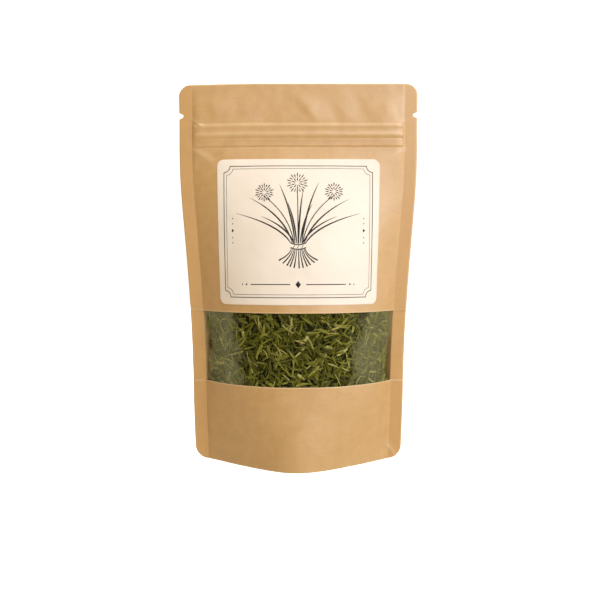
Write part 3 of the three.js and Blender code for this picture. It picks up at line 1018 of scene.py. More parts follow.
@dataclass
class KraftShell:
    """The kraft sheets: the front above and below the window, and the whole back, sealed along both sides.

    Attributes:
        upper_marks: the row marks (height and step) that the front and the back share, from the label's upper
            part to the top.
        seal_marks: the column marks round each seal's inner edge, measured from it.
    """

    form: PouchForm
    finishes: Finishes
    thickness: float = 0.22
    window_bottom: float = 45.9
    window_top: float = 86.5
    top_radius: float = 7.0
    bottom_radius: float = 8.0
    notch_height: float = 201.6
    notch_depth: float = 2.4
    notch_end: float = 0.6
    notch_mouth: float = 2.0
    notch_root: float = 65.0
    relief: ZipRelief = ZipRelief()
    paper_wear_and_highlight: PaperWearAndHighlight = PaperWearAndHighlight()
    edge_curl: float = 0.12
    edge_reach: float = 1.6
    swell: Ripple = Ripple(0.16, 34.0, 5)
    swell_fade: float = 4.0
    header_calm: float = 0.7
    calm_levels: Pair = (178.0, 184.0)
    crumple: Ripple = Ripple(0.035, 9.0, 8)
    seal_crumple: float = 0.3
    back_relief: float = 0.8
    back_swell: Pair = (-40.0, 25.0)
    back_crumple: Pair = (60.0, -15.0)
    press_start: float = -0.3
    press_end: float = 0.5
    coarse_step: float = 1.7
    lower_step: float = 1.6
    foot_step: float = 0.6
    foot_top: float = 9.0
    rim_step: float = 0.3
    rim_depth: float = 1.5
    seal_marks: tuple = ((-6.0, 0.6), (-1.5, 0.25), (1.0, 0.8))
    upper_marks: tuple = (
        (172.0, 0.9), (181.3, 0.3), (197.4, 0.6), (199.4, 0.25), (203.8, 1.0), (212.0, 0.6), (220.0, 1.0),
    )
    creases: tuple = (
        Crease((-62.3, 199.2), (-56.5, 195.2), 0.45, 0.9),
        Crease((-61.8, 181.4), (-50.5, 174.6), 0.55, 1.5),
        Crease((62.0, 180.8), (53.0, 175.6), 0.3, 1.4),
        Crease((62.2, 198.4), (57.5, 195.6), 0.25, 0.9),
        Crease((1.0, 210.5), (10.0, 199.5), 0.22, 1.6),
        Crease((62.0, 7.5), (66.8, 1.0), 0.5, 1.2),
    )
    dents: tuple = (
        Dent((-19.0, 201.0), -0.5, (8.0, 4.0), 20.0),
        Dent((6.0, 207.0), 0.55, (4.5, 9.0), 35.0),
        Dent((20.0, 204.0), -0.35, (4.0, 9.0), 25.0),
        Dent((36.0, 206.0), -0.45, (4.0, 8.0), 15.0),
        Dent((51.0, 203.0), 0.45, (4.0, 8.0), -20.0),
        Dent((59.0, 201.0), -0.4, (2.5, 5.0)),
        Dent((-48.0, 206.0), 0.4, (7.0, 9.0)),
    )

    def columns(self) -> list[float]:
        """Gives the sheets' columns, close together at the fold beside each seal."""
        near_seal = [(self.form.half + place, step) for place, step in self.seal_marks]
        return mirrored((0, self.coarse_step), *near_seal, (self.form.width / 2, 1))

    def outline(self, u: Array, z: Array) -> Places:
        """Rounds the sheets' corners and sets the tear notches into their sides.

        Args:
            u: places along a square-cornered sheet.
            z: their heights.

        Returns:
            The places on the rounded and notched sheet.
        """
        form = self.form
        middle = form.height / 2
        radius = np.where(z > middle, self.top_radius, self.bottom_radius)
        u, raised = rounded(u, z - middle, form.width / 2 - radius, middle - radius, radius)
        z = raised + middle
        from_notch = np.abs(z - self.notch_height)
        depth = self.notch_depth * (1 - smoothstep(from_notch, self.notch_end, self.notch_mouth))
        beyond = np.maximum(0, np.abs(u) - self.notch_root)
        return u - np.sign(u) * beyond * depth / (form.width / 2 - self.notch_root), z

    def front_lift(self, u: Array, z: Array) -> Array:
        """Gives the front sheet's relief, with the zip, the creases and the window's curled edges."""
        inside = self.form.between_seals(u, self.swell_fade)
        total = self.relief.at(u, z)
        for mark in (*self.creases, *self.dents):
            total = total + mark.at(u, z)
        calm = 1 - self.header_calm * smoothstep(z, *self.calm_levels)
        total = total + inside * calm * self.swell.at(u, z)
        curl = np.exp(-np.abs(z - self.window_top) / self.edge_reach)
        curl = curl + np.exp(-np.abs(z - self.window_bottom) / self.edge_reach)
        total = total + self.crumple.at(u, z) * lerp(self.seal_crumple, 1.0, inside)
        return total + self.edge_curl * curl * inside

    def back_lift(self, u: Array, z: Array) -> Array:
        """Gives the back sheet's relief: the zip, softer, and its own unevenness."""
        swell = self.swell.at(-u + self.back_swell[0], z + self.back_swell[1])
        crumple = self.crumple.at(u + self.back_crumple[0], z + self.back_crumple[1])
        inside = self.form.between_seals(u, self.swell_fade)
        return self.back_relief * self.relief.at(u, z) + inside * (swell + crumple)

    def sheet(self, name: str, rows: Sequence[float], side: Side, material: Material) -> Piece:
        """Makes one kraft sheet.

        Args:
            name: the piece's name.
            rows: the sheet's rows, from its bottom edge to its top edge.
            side: the front or the back.
            material: its kraft.

        Returns:
            The piece.
        """
        bm = bmesh.new()
        form = self.form
        lift = self.front_lift if side is Side.FRONT else self.back_lift
        u, z = self.outline(*grid_places(bm, self.columns(), rows))
        unwrap(bm, u, z, form.height)
        paint(bm, "wear_and_highlight", self.paper_wear_and_highlight.at(self, u, z, side))
        paint(bm, "pressed", smoothstep(np.abs(u), form.half + self.press_start, form.half + self.press_end))
        move_to(bm, form.surface(u, z, side, lift(u, z)))
        if side is Side.BACK:
            bmesh.ops.reverse_faces(bm, faces=bm.faces[:])
        piece = to_piece(bm, name, [material, self.finishes.edge])
        thicken(piece, self.thickness, -1.0, 1)
        return piece

    def build(self) -> None:
        """Makes the three kraft pieces."""
        foot = (0.0, self.foot_step)
        upper = stations((self.window_top, self.rim_step),
                         (self.window_top + self.rim_depth, self.coarse_step), *self.upper_marks)
        lower = stations(foot, (self.foot_top, self.lower_step),
                         (self.window_bottom - self.rim_depth, self.rim_step), (self.window_bottom, 1))
        back = stations(foot, (self.foot_top, self.coarse_step), *self.upper_marks)
        front_kraft, back_kraft = self.finishes.kraft_front, self.finishes.kraft_back
        for name, rows, side, kraft, slot, node in (
            ("kraft_front_upper", upper, Side.FRONT, front_kraft, Slot.KRAFT_FRONT, "front_upper_panel"),
            ("kraft_front_lower", lower, Side.FRONT, front_kraft, Slot.KRAFT_FRONT, "front_lower_panel"),
            ("kraft_back", back, Side.BACK, back_kraft, Slot.KRAFT_BACK, "back_panel"),
        ):
            hand_over(self.sheet(name, rows, side, kraft), slot, node)


@dataclass
class WindowFilm:
    """The clear band across the front, lapped behind the kraft above and below and sealed at both sides."""

    shell: KraftShell
    thickness: float = 0.03
    lap: float = 3.5
    clearance: float = 0.015
    side_gap: float = 0.1
    row_step: float = 0.9
    tension: Ripple = Ripple(0.1, 17.0, 21)
    edge_fade: float = 3.0
    seal_fade: float = 5.0

    def slack(self, u: Array, z: Array) -> Array:
        """Gives how far the film swells between the paper's edges."""
        shell = self.shell
        free = smoothstep(z, shell.window_bottom, shell.window_bottom + self.edge_fade)
        free = free * (1 - smoothstep(z, shell.window_top - self.edge_fade, shell.window_top))
        return shell.form.between_seals(u, self.seal_fade) * free * self.tension.at(u, z)

    def place(self, u: Array, z: Array, depth: Array) -> Array:
        """Gives points a depth behind the film's outer face."""
        behind = self.shell.thickness + self.clearance + depth - self.slack(u, z)
        return self.shell.form.offset(u, z, Side.FRONT, self.shell.front_lift, -behind)

    def build(self) -> Piece:
        """Makes the film and gives its piece."""
        shell = self.shell
        bm = bmesh.new()
        rows = stations((shell.window_bottom - self.lap, self.row_step), (shell.window_top + self.lap, 1))
        u, z = grid_places(bm, shell.columns(), rows)
        reach = shell.form.width / 2 - self.side_gap
        u = np.clip(u, -reach, reach)
        unwrap(bm, u, z, shell.form.height)
        move_to(bm, self.place(u, z, np.zeros_like(u)))
        piece = to_piece(bm, "clear_window_film", [shell.finishes.film])
        piece.visible_shadow = False
        piece.visible_diffuse = False
        thicken(piece, self.thickness, -1.0)
        hand_over(piece, Slot.FILM, "window_film")
        return piece


@dataclass
class BottomGusset:
    """The folded sheet that opens out as the base, with its rims sealed to the insides of both panels.

    Attributes:
        ridge: the height of the crease along its middle, ridge_width how far from the middle it fades, and
            ridge_shares the shares across between which it grows.
        pleat: the unevenness, and pleat_size the millimetres that a share stands for in it, across and deep.
        settled: the height below which the crease and the unevenness fade.
        map_scale, map_middle: where the paper's pattern lies on it.
        fold_wear, rim_wear: the strength and the width of the wear along the crease and below the rims.
    """

    shell: KraftShell
    reach: float = 0.985
    fold: float = 40.0
    flat_across: float = 0.3
    flat_deep: float = 0.4
    rim_height: float = 6.0
    fold_curve: float = 2.2
    rim_curve: float = 2.6
    clearance: float = 0.12
    lowest: float = 0.25
    strip_rows: int = 8
    across_steps: int = 96
    deep_steps: int = 44
    thickness: float = 0.2
    share_level: float = 20.0
    ridge: float = 0.5
    ridge_width: float = 0.04
    ridge_shares: Pair = (0.25, 0.7)
    pleat: Ripple = Ripple(0.18, 16.0, 33)
    pleat_size: Pair = (60.0, 25.0)
    settled: float = 6.0
    map_scale: Pair = (0.9, 40.0)
    map_middle: float = 90.0
    fold_wear: Pair = (0.3, 0.03)
    rim_wear: Pair = (0.25, 0.1)
    rim_press: float = 0.8

    def rim(self, share: Array) -> Array:
        """Gives the height of the sealed rim across the pouch."""
        return lerp(self.rim_height, self.fold, np.abs(share) ** self.rim_curve)

    def height(self, share: Array, towards: Array) -> Array:
        """Gives the base's height at a share across and a share towards the front (-1) or back (1)."""
        past_across = np.clip((np.abs(share) - self.flat_across) / (1 - self.flat_across), 0, None)
        past_deep = np.clip((np.abs(towards) - self.flat_deep) / (1 - self.flat_deep), 0, None)
        fold = self.fold * past_across ** self.fold_curve
        return lerp(fold, np.maximum(self.rim(share), fold), past_deep ** 2)

    def creased(self, share: Array, towards: Array) -> Array:
        """Gives the base's height with its crease and unevenness."""
        top = self.height(share, towards)
        crease = self.ridge * np.exp(-np.abs(towards) / self.ridge_width)
        crease = crease * smoothstep(np.abs(share), *self.ridge_shares)
        soft = self.pleat.at(share * self.pleat_size[0], towards * self.pleat_size[1])
        soft = np.abs(soft) * (1 - towards ** 2)
        return top + (crease + soft) * smoothstep(top, 0.0, self.settled)

    def build(self) -> None:
        """Makes the gusset as one sheet: a strip down the front panel, the base and a strip down the back."""
        bm = bmesh.new()
        form, finishes = self.shell.form, self.shell.finishes
        places = list(np.linspace(-self.reach * form.half, self.reach * form.half, self.across_steps + 1))
        strip = [1 + i / self.strip_rows for i in range(1, self.strip_rows + 1)]
        base = list(np.linspace(-1, 1, self.deep_steps + 1))
        u, section = grid_places(bm, places, [-place for place in reversed(strip)] + base + strip)
        share = form.across(u, np.full_like(u, self.share_level))[1]
        towards = np.clip(section, -1, 1)
        down = np.abs(section) - np.abs(towards)
        z = self.lowest + lerp(self.creased(share, towards), 0.0, down)
        behind = np.full_like(u, -self.shell.thickness - self.clearance)
        front = form.offset(u, z, Side.FRONT, self.shell.front_lift, behind)
        back = form.offset(u, z, Side.BACK, self.shell.back_lift, behind)
        points = lerp(front, back, (towards[:, None] + 1) / 2)
        points[:, 2] = z
        unwrap(bm, u * self.map_scale[0], section * self.map_scale[1] + self.map_middle, form.height)
        rims = self.rim_wear[0] * np.exp(-(down / self.rim_wear[1])) * (down > 0)
        paint(bm, "wear_and_highlight", self.fold_wear[0] * bell(towards, self.fold_wear[1]) + rims)
        paint(bm, "pressed", (down > 0) * self.rim_press)
        move_to(bm, points)
        bmesh.ops.reverse_faces(bm, faces=bm.faces[:])
        piece = to_piece(bm, "kraft_bottom_gusset", [finishes.kraft_base, finishes.edge])
        thicken(piece, self.thickness, -1.0, 1)
        hand_over(piece, Slot.KRAFT_BASE, "bottom_gusset")


@dataclass
class LabelPrint:
    """The label's printed design: a border with hollow corners, a tied tuft of flowering blades and a rule.

    Places in it are millimetres from the label's middle, (a, b).

    Attributes:
        frames: each border's distance from the label's edge, and its width.
        blades: each blade's tip, and how far its foot leans out.
        heads: each flower head's middle and radius.
        rings: each ring of petals, from and to a share of the radius.
        strands: where the tie's strands are.
        rule_dots, side_dots: each diamond's place along its row, and its size.
    """

    frames: tuple = ((4.2, 0.42), (5.8, 0.22))
    notch: float = 3.6
    half_width: float = 47.5
    half_height: float = 42.0
    waist: float = -9.0
    blades: tuple = (
        (-36, 10, -9.5), (-28, 19, -7.5), (-21, 8, -5.5), (-11, 27, -4.0), (-6, 16, -2.0), (3, 24, 0.5),
        (8, 15, 2.5), (12, 28, 4.5), (22, 8, 6.0), (29, 18, 8.0), (36, 10, 9.5),
    )
    spread: float = 0.42
    blade_bend: float = 0.6
    blade_shape: tuple = (0.22, 2.0, 0.6, 0.9, 0.14)
    cut_level: float = -21.5
    cut_rise: float = 0.05
    cut_spread: float = 1.15
    cut_waist: Pair = (0.45, 3.5)
    cut_width: Pair = (0.3, 0.5)
    heads: tuple = ((-0.5, 27.5, 6.4), (-19.5, 22.0, 5.6), (20.5, 22.5, 5.6))
    stalk_start: float = 0.12
    stalk_bend: Pair = (0.25, 0.4)
    stalk_end: float = 0.4
    stalk_width: Pair = (0.6, -0.15)
    petals: int = 20
    rings: tuple = ((0.5, 1.0), (0.16, 0.58))
    short_petal: float = 0.88
    petal_shape: tuple = (0.1, 0.52, 1.4)
    tie_half: float = 4.3
    tie_height: float = 1.3
    tie_rise: float = 0.5
    tie_sag: float = 1.6
    tie_width: float = 0.55
    strands: tuple = (-2.4, 0.0, 2.4)
    strand_slant: float = 0.5
    strand_ends: Pair = (0.1, 0.7)
    strand_width: float = 0.3
    rule_level: float = -30.5
    rule_ends: Pair = (4.5, 27.0)
    rule_width: float = 0.5
    rule_dots: tuple = ((29.5, 0.7), (32.0, 0.5))
    rule_diamond: float = 2.0
    side_place: float = 38.0
    side_dots: tuple = ((0.0, 1.0), (4.0, 0.5), (-4.0, 0.5), (7.0, 0.5), (-7.0, 0.5))
    diamond_width: float = 1.5
    least_width: float = 0.01
    straight_steps: int = 80
    blade_steps: int = 26
    tie_steps: int = 12
    short_steps: int = 10
    petal_steps: int = 7
    diamond_steps: int = 4

    @staticmethod
    def straight(start: Pair, end: Pair) -> Callable:
        """Gives a straight path."""
        return lambda s: (lerp(start[0], end[0], s), lerp(start[1], end[1], s))

    @staticmethod
    def arc(centre: Pair, radius: float, way_a: int, way_b: int) -> Callable:
        """Gives a quarter circle round a corner, on the corner's inner side."""
        def path(s: Array) -> Places:
            """Goes round the quarter."""
            angle = s * math.pi / 2
            return centre[0] - way_a * radius * np.cos(angle), centre[1] - way_b * radius * np.sin(angle)
        return path

    @staticmethod
    def curve(start: Pair, bend: Pair, end: Pair) -> Callable:
        """Gives a curved path that leaves start towards bend and comes to end."""
        def path(s: Array) -> Places:
            """Goes along the curve."""
            keep, turn, reach = (1 - s) ** 2, 2 * s * (1 - s), s ** 2
            return (keep * start[0] + turn * bend[0] + reach * end[0],
                    keep * start[1] + turn * bend[1] + reach * end[1])
        return path

    @staticmethod
    def even(width: float, change: float = 0.0) -> Callable:
        """Gives a width that is the same all along a line, or changes evenly."""
        return lambda s: width + change * s

    def blade_width(self, s: Array) -> Array:
        """Gives a blade's width along it: thin at the tie, widest a third of the way up and pointed."""
        s = np.clip(s, 0, 1)
        least, widest, rise, fall, thinning = self.blade_shape
        return least + widest * s ** rise * (1 - s) ** fall - thinning * s

    def petal_width(self, s: Array) -> Array:
        """Gives a petal's width along it: widest past its middle and pointed at both ends."""
        least, widest, shift = self.petal_shape
        return least + widest * np.sin(math.pi * np.clip(s, 0, 1) ** shift)

    def diamond(self, a: float, b: float, size: float) -> Line:
        """Gives a diamond: a short upright line, wide in its middle."""
        def widths(s: Array) -> Array:
            """Widens to the middle and closes again."""
            return size * self.diamond_width * (1 - np.abs(2 * s - 1)) + self.least_width
        return self.straight((a, b - size), (a, b + size)), widths, self.diamond_steps

    def border_lines(self) -> list[Line]:
        """Gives the two frames: straight sides and a hollow quarter circle at each corner."""
        lines = []
        for inset, width in self.frames:
            wide, high = self.half_width - inset, self.half_height - inset
            side_a, side_b = wide - self.notch, high - self.notch
            even = self.even(width)
            for way in (-1, 1):
                level = self.straight((-side_a, way * high), (side_a, way * high))
                upright = self.straight((way * wide, -side_b), (way * wide, side_b))
                lines += [(level, even, self.straight_steps), (upright, even, self.straight_steps)]
            for way_a in (-1, 1):
                for way_b in (-1, 1):
                    corner = self.arc((way_a * wide, way_b * high), self.notch, way_a, way_b)
                    lines.append((corner, even, self.short_steps))
        return lines

    def tuft_lines(self) -> list[Line]:
        """Gives the blades and the cut ends below them, the stalks and the tie."""
        lines = []
        upper, lower = self.waist + self.tie_height, self.waist - self.tie_height
        for tip_a, tip_b, lean in self.blades:
            start = (lean * self.spread, upper)
            bend = (start[0] + lean * self.blade_bend, lerp(upper, tip_b, self.blade_bend))
            lines.append((self.curve(start, bend, (tip_a, tip_b)), self.blade_width, self.blade_steps))
            foot = (lean * self.cut_spread, self.cut_level + self.cut_rise * lean ** 2)
            middle = (lean * self.cut_waist[0], lower - self.cut_waist[1])
            cut_end = self.curve((start[0], lower), middle, foot)
            lines.append((cut_end, self.even(*self.cut_width), self.short_steps))
        for head_a, head_b, radius in self.heads:
            bend = (head_a * self.stalk_bend[0], head_b * self.stalk_bend[1])
            end = (head_a, head_b - radius * self.stalk_end)
            stalk = self.curve((head_a * self.stalk_start, upper), bend, end)
            lines.append((stalk, self.even(*self.stalk_width), self.blade_steps))
        for height in (upper, lower):
            ends = [(way * self.tie_half, height + self.tie_rise) for way in (-1, 1)]
            tie = self.curve(ends[0], (0, height - self.tie_sag), ends[1])
            lines.append((tie, self.even(self.tie_width), self.tie_steps))
        for place in self.strands:
            strand = self.straight((place - self.strand_slant, lower + self.strand_ends[0]),
                                   (place + self.strand_slant, upper - self.strand_ends[1]))
            lines.append((strand, self.even(self.strand_width), self.straight_steps))
        return lines

    def head_lines(self) -> list[Line]:
        """Gives the round flower heads: pointed petals all the way round, in two rings."""
        lines = []
        for head_a, head_b, radius in self.heads:
            for ring, (inner, outer) in enumerate(self.rings):
                count = self.petals // (1 + ring)
                for i in range(count):
                    angle = 2 * math.pi * (i + 0.5 * ring) / count
                    far = outer * (1.0 if i % 2 else self.short_petal)
                    start, end = [
                        (head_a + radius * share * math.cos(angle), head_b + radius * share * math.sin(angle))
                        for share in (inner, far)
                    ]
                    middle = ((start[0] + end[0]) / 2, (start[1] + end[1]) / 2)
                    lines.append((self.curve(start, middle, end), self.petal_width, self.petal_steps))
        return lines

    def rule_lines(self) -> list[Line]:
        """Gives the rule under the tuft with its diamonds, and the small ones at the label's sides."""
        base = self.rule_level
        lines = []
        for way in (-1, 1):
            rule = self.straight((way * self.rule_ends[0], base), (way * self.rule_ends[1], base))
            lines.append((rule, self.even(self.rule_width), self.straight_steps))
            lines += [self.diamond(way * place, base, size) for place, size in self.rule_dots]
        lines.append(self.diamond(0, base, self.rule_diamond))
        for way in (-1, 1):
            lines += [self.diamond(way * self.side_place, place, size) for place, size in self.side_dots]
        return lines

    def lines(self) -> list[Line]:
        """Gives every line of the design."""
        return self.border_lines() + self.tuft_lines() + self.head_lines() + self.rule_lines()


@dataclass
class Label:
    """The cream label on the upper front, and its printed design."""

    shell: KraftShell
    width: float = 95.0
    bottom: float = 91.0
    top: float = 175.0
    radius: float = 4.0
    step: float = 1.0
    corner_step: float = 0.5
    off_paper: float = 0.03
    thickness: float = 0.13
    ink_gap: float = 0.025
    ink_thickness: float = 0.012
    ribbon_step: float = 1e-3
    design: LabelPrint = field(default_factory=LabelPrint)

    @property
    def middle(self) -> float:
        """Gives the height of the label's middle."""
        return (self.bottom + self.top) / 2

    def place(self, u: Array, z: Array, out: float) -> Array:
        """Gives points outside the paper's face."""
        return self.shell.form.offset(u, z, Side.FRONT, self.shell.front_lift, np.full_like(u, out))

    def build(self) -> None:
        """Makes the label and its print."""
        self.build_stock()
        self.build_print()

    def build_stock(self) -> None:
        """Makes the label's own sheet, with its four corners rounded."""
        bm = bmesh.new()
        inner_u, inner_z = self.width / 2 - self.radius, (self.top - self.bottom) / 2 - self.radius
        columns = mirrored((0, self.step), (inner_u, self.corner_step), (self.width / 2, 1))
        rows = stations((self.bottom, self.corner_step), (self.bottom + self.radius, self.step),
                        (self.top - self.radius, self.corner_step), (self.top, 1))
        u, z = grid_places(bm, columns, rows)
        u, raised = rounded(u, z - self.middle, inner_u, inner_z, self.radius)
        z = raised + self.middle
        unwrap(bm, u, z, self.shell.form.height)
        move_to(bm, self.place(u, z, self.off_paper))
        piece = to_piece(bm, "label_stock", [self.shell.finishes.label])
        thicken(piece, self.thickness, 1.0)
        hand_over(piece, Slot.LABEL, "label")

    def build_print(self) -> None:
        """Makes the printed design, each line a thin ribbon on the label."""
        bm = bmesh.new()
        places = []
        for path, widths, steps in self.design.lines():
            made = bmesh.ops.create_grid(bm, x_segments=steps, y_segments=1, size=0.5)
            spots = np.array([vertex.co[:2] for vertex in made["verts"]])
            places.append(self.ribbon(path, widths, spots[:, 0] + 0.5, spots[:, 1] * 2))
        flat = np.concatenate(places)
        u, z = flat[:, 0], flat[:, 1] + self.middle
        move_to(bm, self.place(u, z, self.off_paper + self.thickness + self.ink_gap))
        outward = self.shell.form.outward(u, z, Side.FRONT, self.shell.front_lift)
        bm.normal_update()
        bm.verts.index_update()
        inward = [face for face in bm.faces if face.normal.dot(Vector(outward[face.verts[0].index])) < 0]
        bmesh.ops.reverse_faces(bm, faces=inward)
        piece = to_piece(bm, "label_print", [self.shell.finishes.ink])
        thicken(piece, self.ink_thickness, 1.0)
        hand_over(piece, Slot.LABEL)

    def ribbon(self, path: Callable, widths: Callable, along: Array, beside: Array) -> Array:
        """Lays a ribbon's vertices beside its path.

        Args:
            path: gives (a, b) at a share along the line.
            widths: gives the ribbon's width there.
            along: each vertex's share along the line.
            beside: -1 or 1, the side it lies on.

        Returns:
            One (a, b) row for each vertex.
        """
        a, b = path(along)
        before, after = path(along - self.ribbon_step), path(along + self.ribbon_step)
        da, db = after[0] - before[0], after[1] - before[1]
        length = np.hypot(da, db)
        out = beside * widths(along) / 2
        return np.stack([a - db / length * out, b + da / length * out], axis=-1)


@dataclass(frozen=True)
class SliverLayer:
    """One depth of leaf slivers behind the film, tinted darker the deeper it lies: painted shade."""

    name: str
    count: int
    nearest: float
    deepest: float
    # The slivers' mean tint, darker for the deeper layer: painted shade.
    brightness: float
    seed: int


@dataclass(frozen=True)
class SliverShape:
    """What the cut slivers are like. A pair is a range that each sliver's own value is drawn from.

    Attributes:
        lengths, widths: in millimetres. The biases say how much the short and the narrow ones prevail.
        tapers: how much a sliver narrows from its widest place to its ends, always to at least narrowest.
        wide_places: where its widest place is, from -1 to 1 along it.
        bend: how much it bends in its plane, and most_bend the most.
        tips, twists: how far it is turned about its length in the middle, and how much more at its ends.
        dips: how far its ends go deeper, for a sliver of long_length. slants: how much deeper one end is.
        cups: how deep its cross-section is bent, as a share of its half width.
        end_from: the share along it where its cut ends start.
        crowding: how much deeper than the panel's own bulge a sliver may lie, as a factor.
    """

    lengths: Pair = (4.5, 10.0)
    length_bias: float = 1.3
    widths: Pair = (0.55, 1.95)
    width_bias: float = 1.2
    tapers: Pair = (0.35, 0.95)
    wide_places: Pair = (-0.4, 0.4)
    taper_curve: float = 2.2
    narrowest: float = 0.12
    bend: float = 0.13
    most_bend: float = 0.4
    bend_middle: float = 0.33
    tips: Pair = (-0.95, 0.95)
    twists: Pair = (-0.5, 0.5)
    dips: Pair = (-0.35, 0.9)
    long_length: float = 10.0
    slants: Pair = (-0.5, 0.5)
    cups: Pair = (0.1, 0.9)
    end_from: float = 0.9
    crowding: float = 1.6
    along_steps: int = 6
    beside_steps: int = 2


@dataclass
class LeafFill:
    """The dried leaf: a heap that fills the pouch, and the cut slivers that press against the window.

    Attributes:
        heap_fall: how far the heap's top falls towards the sides and towards the panels.
        lump_size: the millimetres that a share across, a height and a share deep stand for in the lumps.
        lump_depths: the depths of the heap between which the lumps grow.
        overlap: how far the slivers' middles go beyond the window's edges.
        tint_limits, straw_tints: the slivers' green, and the tint of those that are straw.
        map_steps: how far each sliver's own stretch of the map lies from the one before.
    """

    form: PouchForm
    film: WindowFilm
    finishes: Finishes
    gusset: BottomGusset
    heap_top: float = 122.0
    heap_fall: Pair = (6.0, 4.0)
    heap_reach: float = 0.93
    heap_room: float = 3.2
    heap_lift: float = 3.2
    heap_least: float = 0.8
    heap_cuts: int = 31
    lumps: Ripple = Ripple(0.5, 7.0, 51)
    lump_size: Triple = (55.0, 0.3, 20.0)
    lump_depths: Pair = (2.0, 8.0)
    shape: SliverShape = SliverShape()
    thickness: float = 0.16
    least_depth: float = 0.14
    reach: float = 60.4
    overlap: float = 3.0
    seal_gap: float = 1.6
    tint_spread: float = 0.2
    tint_limits: Pair = (0.02, 0.98)
    straw_share: float = 0.042
    straw_tints: Pair = (0.9, 1.0)
    map_steps: Pair = (3.7, 0.3)
    # The deeper layer's darker tint is painted shade.
    layers: tuple = (
        SliverLayer("leaf_slivers_outer", 1150, 0.1, 2.2, 0.5, 71),
        SliverLayer("leaf_slivers_inner", 1250, 1.6, 4.0, 0.27, 72),
    )

    def build(self) -> None:
        """Makes the heap and the layers of slivers."""
        self.build_heap()
        for layer in self.layers:
            self.build_slivers(layer)

    def build_heap(self) -> None:
        """Makes the mass of leaf as one closed body, set back from the panels."""
        bm = bmesh.new()
        bmesh.ops.create_cube(bm, size=2.0)
        bmesh.ops.subdivide_edges(bm, edges=bm.edges[:], cuts=self.heap_cuts, use_grid_fill=True)
        spots = np.array([vertex.co[:] for vertex in bm.verts])
        share, towards = spots[:, 0] * self.heap_reach, spots[:, 1]
        floor = self.gusset.height(share, towards) + self.heap_lift
        top = self.heap_top - self.heap_fall[0] * share ** 2 - self.heap_fall[1] * towards ** 2
        z = lerp(floor, top, (spots[:, 2] + 1) / 2)
        reach = np.maximum(self.heap_least, self.form.bulge(share, z) - self.heap_room)
        across, up, deep = self.lump_size
        uneven = self.lumps.at(share * across + z * up, z + towards * deep)
        reach = reach + uneven * np.abs(towards) * smoothstep(reach, *self.lump_depths)
        move_to(bm, np.stack([share * self.form.half_width(z), towards * reach, z], axis=-1))
        bmesh.ops.recalc_face_normals(bm, faces=bm.faces[:])
        hand_over(to_piece(bm, "leaf_heap", [self.finishes.heap]), Slot.LEAF, "chive_leaf_fill")

    def sliver_grids(self, bm: Mesh, count: int) -> Places:
        """Makes a small grid for each sliver.

        Args:
            bm: the mesh to make them in.
            count: how many slivers.

        Returns:
            Each vertex's place along its sliver and beside its middle, from -1 to 1, one row a sliver.
        """
        spots = []
        for _ in range(count):
            made = bmesh.ops.create_grid(bm, x_segments=self.shape.along_steps,
                                         y_segments=self.shape.beside_steps, size=1.0)
            spots.append([vertex.co[:2] for vertex in made["verts"]])
        spots = np.array(spots)
        return spots[:, :, 0], spots[:, :, 1]

    def build_slivers(self, layer: SliverLayer) -> None:
        """Makes one layer of slivers: each a narrow strip, bent, curled and tipped its own way."""
        bm = bmesh.new()
        along, beside = self.sliver_grids(bm, layer.count)
        draw = np.random.default_rng(layer.seed)
        shape, shell = self.shape, self.film.shell

        def each(low: float, high: float) -> Array:
            """Draws one number for each sliver."""
            return draw.uniform(low, high, (layer.count, 1))

        centre_u = each(-self.reach, self.reach)
        centre_z = each(shell.window_bottom - self.overlap, shell.window_top + self.overlap)
        turn = each(0, math.pi)
        length = lerp(*shape.lengths, each(0, 1) ** shape.length_bias)
        width = lerp(*shape.widths, each(0, 1) ** shape.width_bias)
        taper = each(*shape.tapers) * np.abs(along - each(*shape.wide_places)) ** shape.taper_curve
        half = width / 2 * np.clip(1 - taper, shape.narrowest, 1)
        bend = np.clip(draw.normal(0, shape.bend, (layer.count, 1)), -shape.most_bend, shape.most_bend)
        tip = each(*shape.tips) + each(*shape.twists) * along
        slope = np.arctan(2 * bend * along)
        x = length / 2 * along - half * beside * np.cos(tip) * np.sin(slope)
        y = length / 2 * bend * (along ** 2 - shape.bend_middle) + half * beside * np.cos(tip) * np.cos(slope)
        depth = lerp(layer.nearest, layer.deepest, each(0, 1))
        depth = depth + each(*shape.dips) * along ** 2 * length / shape.long_length
        depth = depth + each(*shape.slants) * along
        depth = depth + half * beside * np.sin(tip) + each(*shape.cups) * half * beside ** 2
        depth = depth + np.maximum(0, self.least_depth - depth.min(axis=1, keepdims=True))
        u = centre_u + x * np.cos(turn) - y * np.sin(turn)
        z = centre_z + x * np.sin(turn) + y * np.cos(turn)
        over = np.maximum(0, np.abs(u).max(axis=1, keepdims=True) - self.form.half + self.seal_gap)
        u = u - np.sign(centre_u) * over
        room = self.form.bulge(self.form.across(u.ravel(), z.ravel())[1], z.ravel()).reshape(u.shape)
        depth = np.minimum(depth, np.maximum(self.least_depth, room * shape.crowding))
        self.unwrap_slivers(bm, along, beside)
        paint(bm, "tint", np.broadcast_to(self.tints(layer, draw), along.shape).ravel())
        paint(bm, "end", (np.abs(along) > shape.end_from).astype(float).ravel())
        move_to(bm, self.film.place(u.ravel(), z.ravel(), self.film.thickness + depth.ravel()))
        bmesh.ops.recalc_face_normals(bm, faces=bm.faces[:])
        piece = to_piece(bm, layer.name, [self.finishes.leaf])
        piece.data.polygons.foreach_set("use_smooth", [False] * len(piece.data.polygons))
        thicken(piece, self.thickness, 0.0)
        hand_over(piece, Slot.LEAF)

    def tints(self, layer: SliverLayer, draw: np.random.Generator) -> Array:
        """Draws each sliver's place in the leaf's colours, a few of them straw."""
        green = draw.normal(layer.brightness, self.tint_spread, (layer.count, 1))
        straw = draw.random((layer.count, 1)) < self.straw_share
        pale = lerp(*self.straw_tints, draw.random((layer.count, 1)))
        return np.where(straw, pale, np.clip(green, *self.tint_limits))

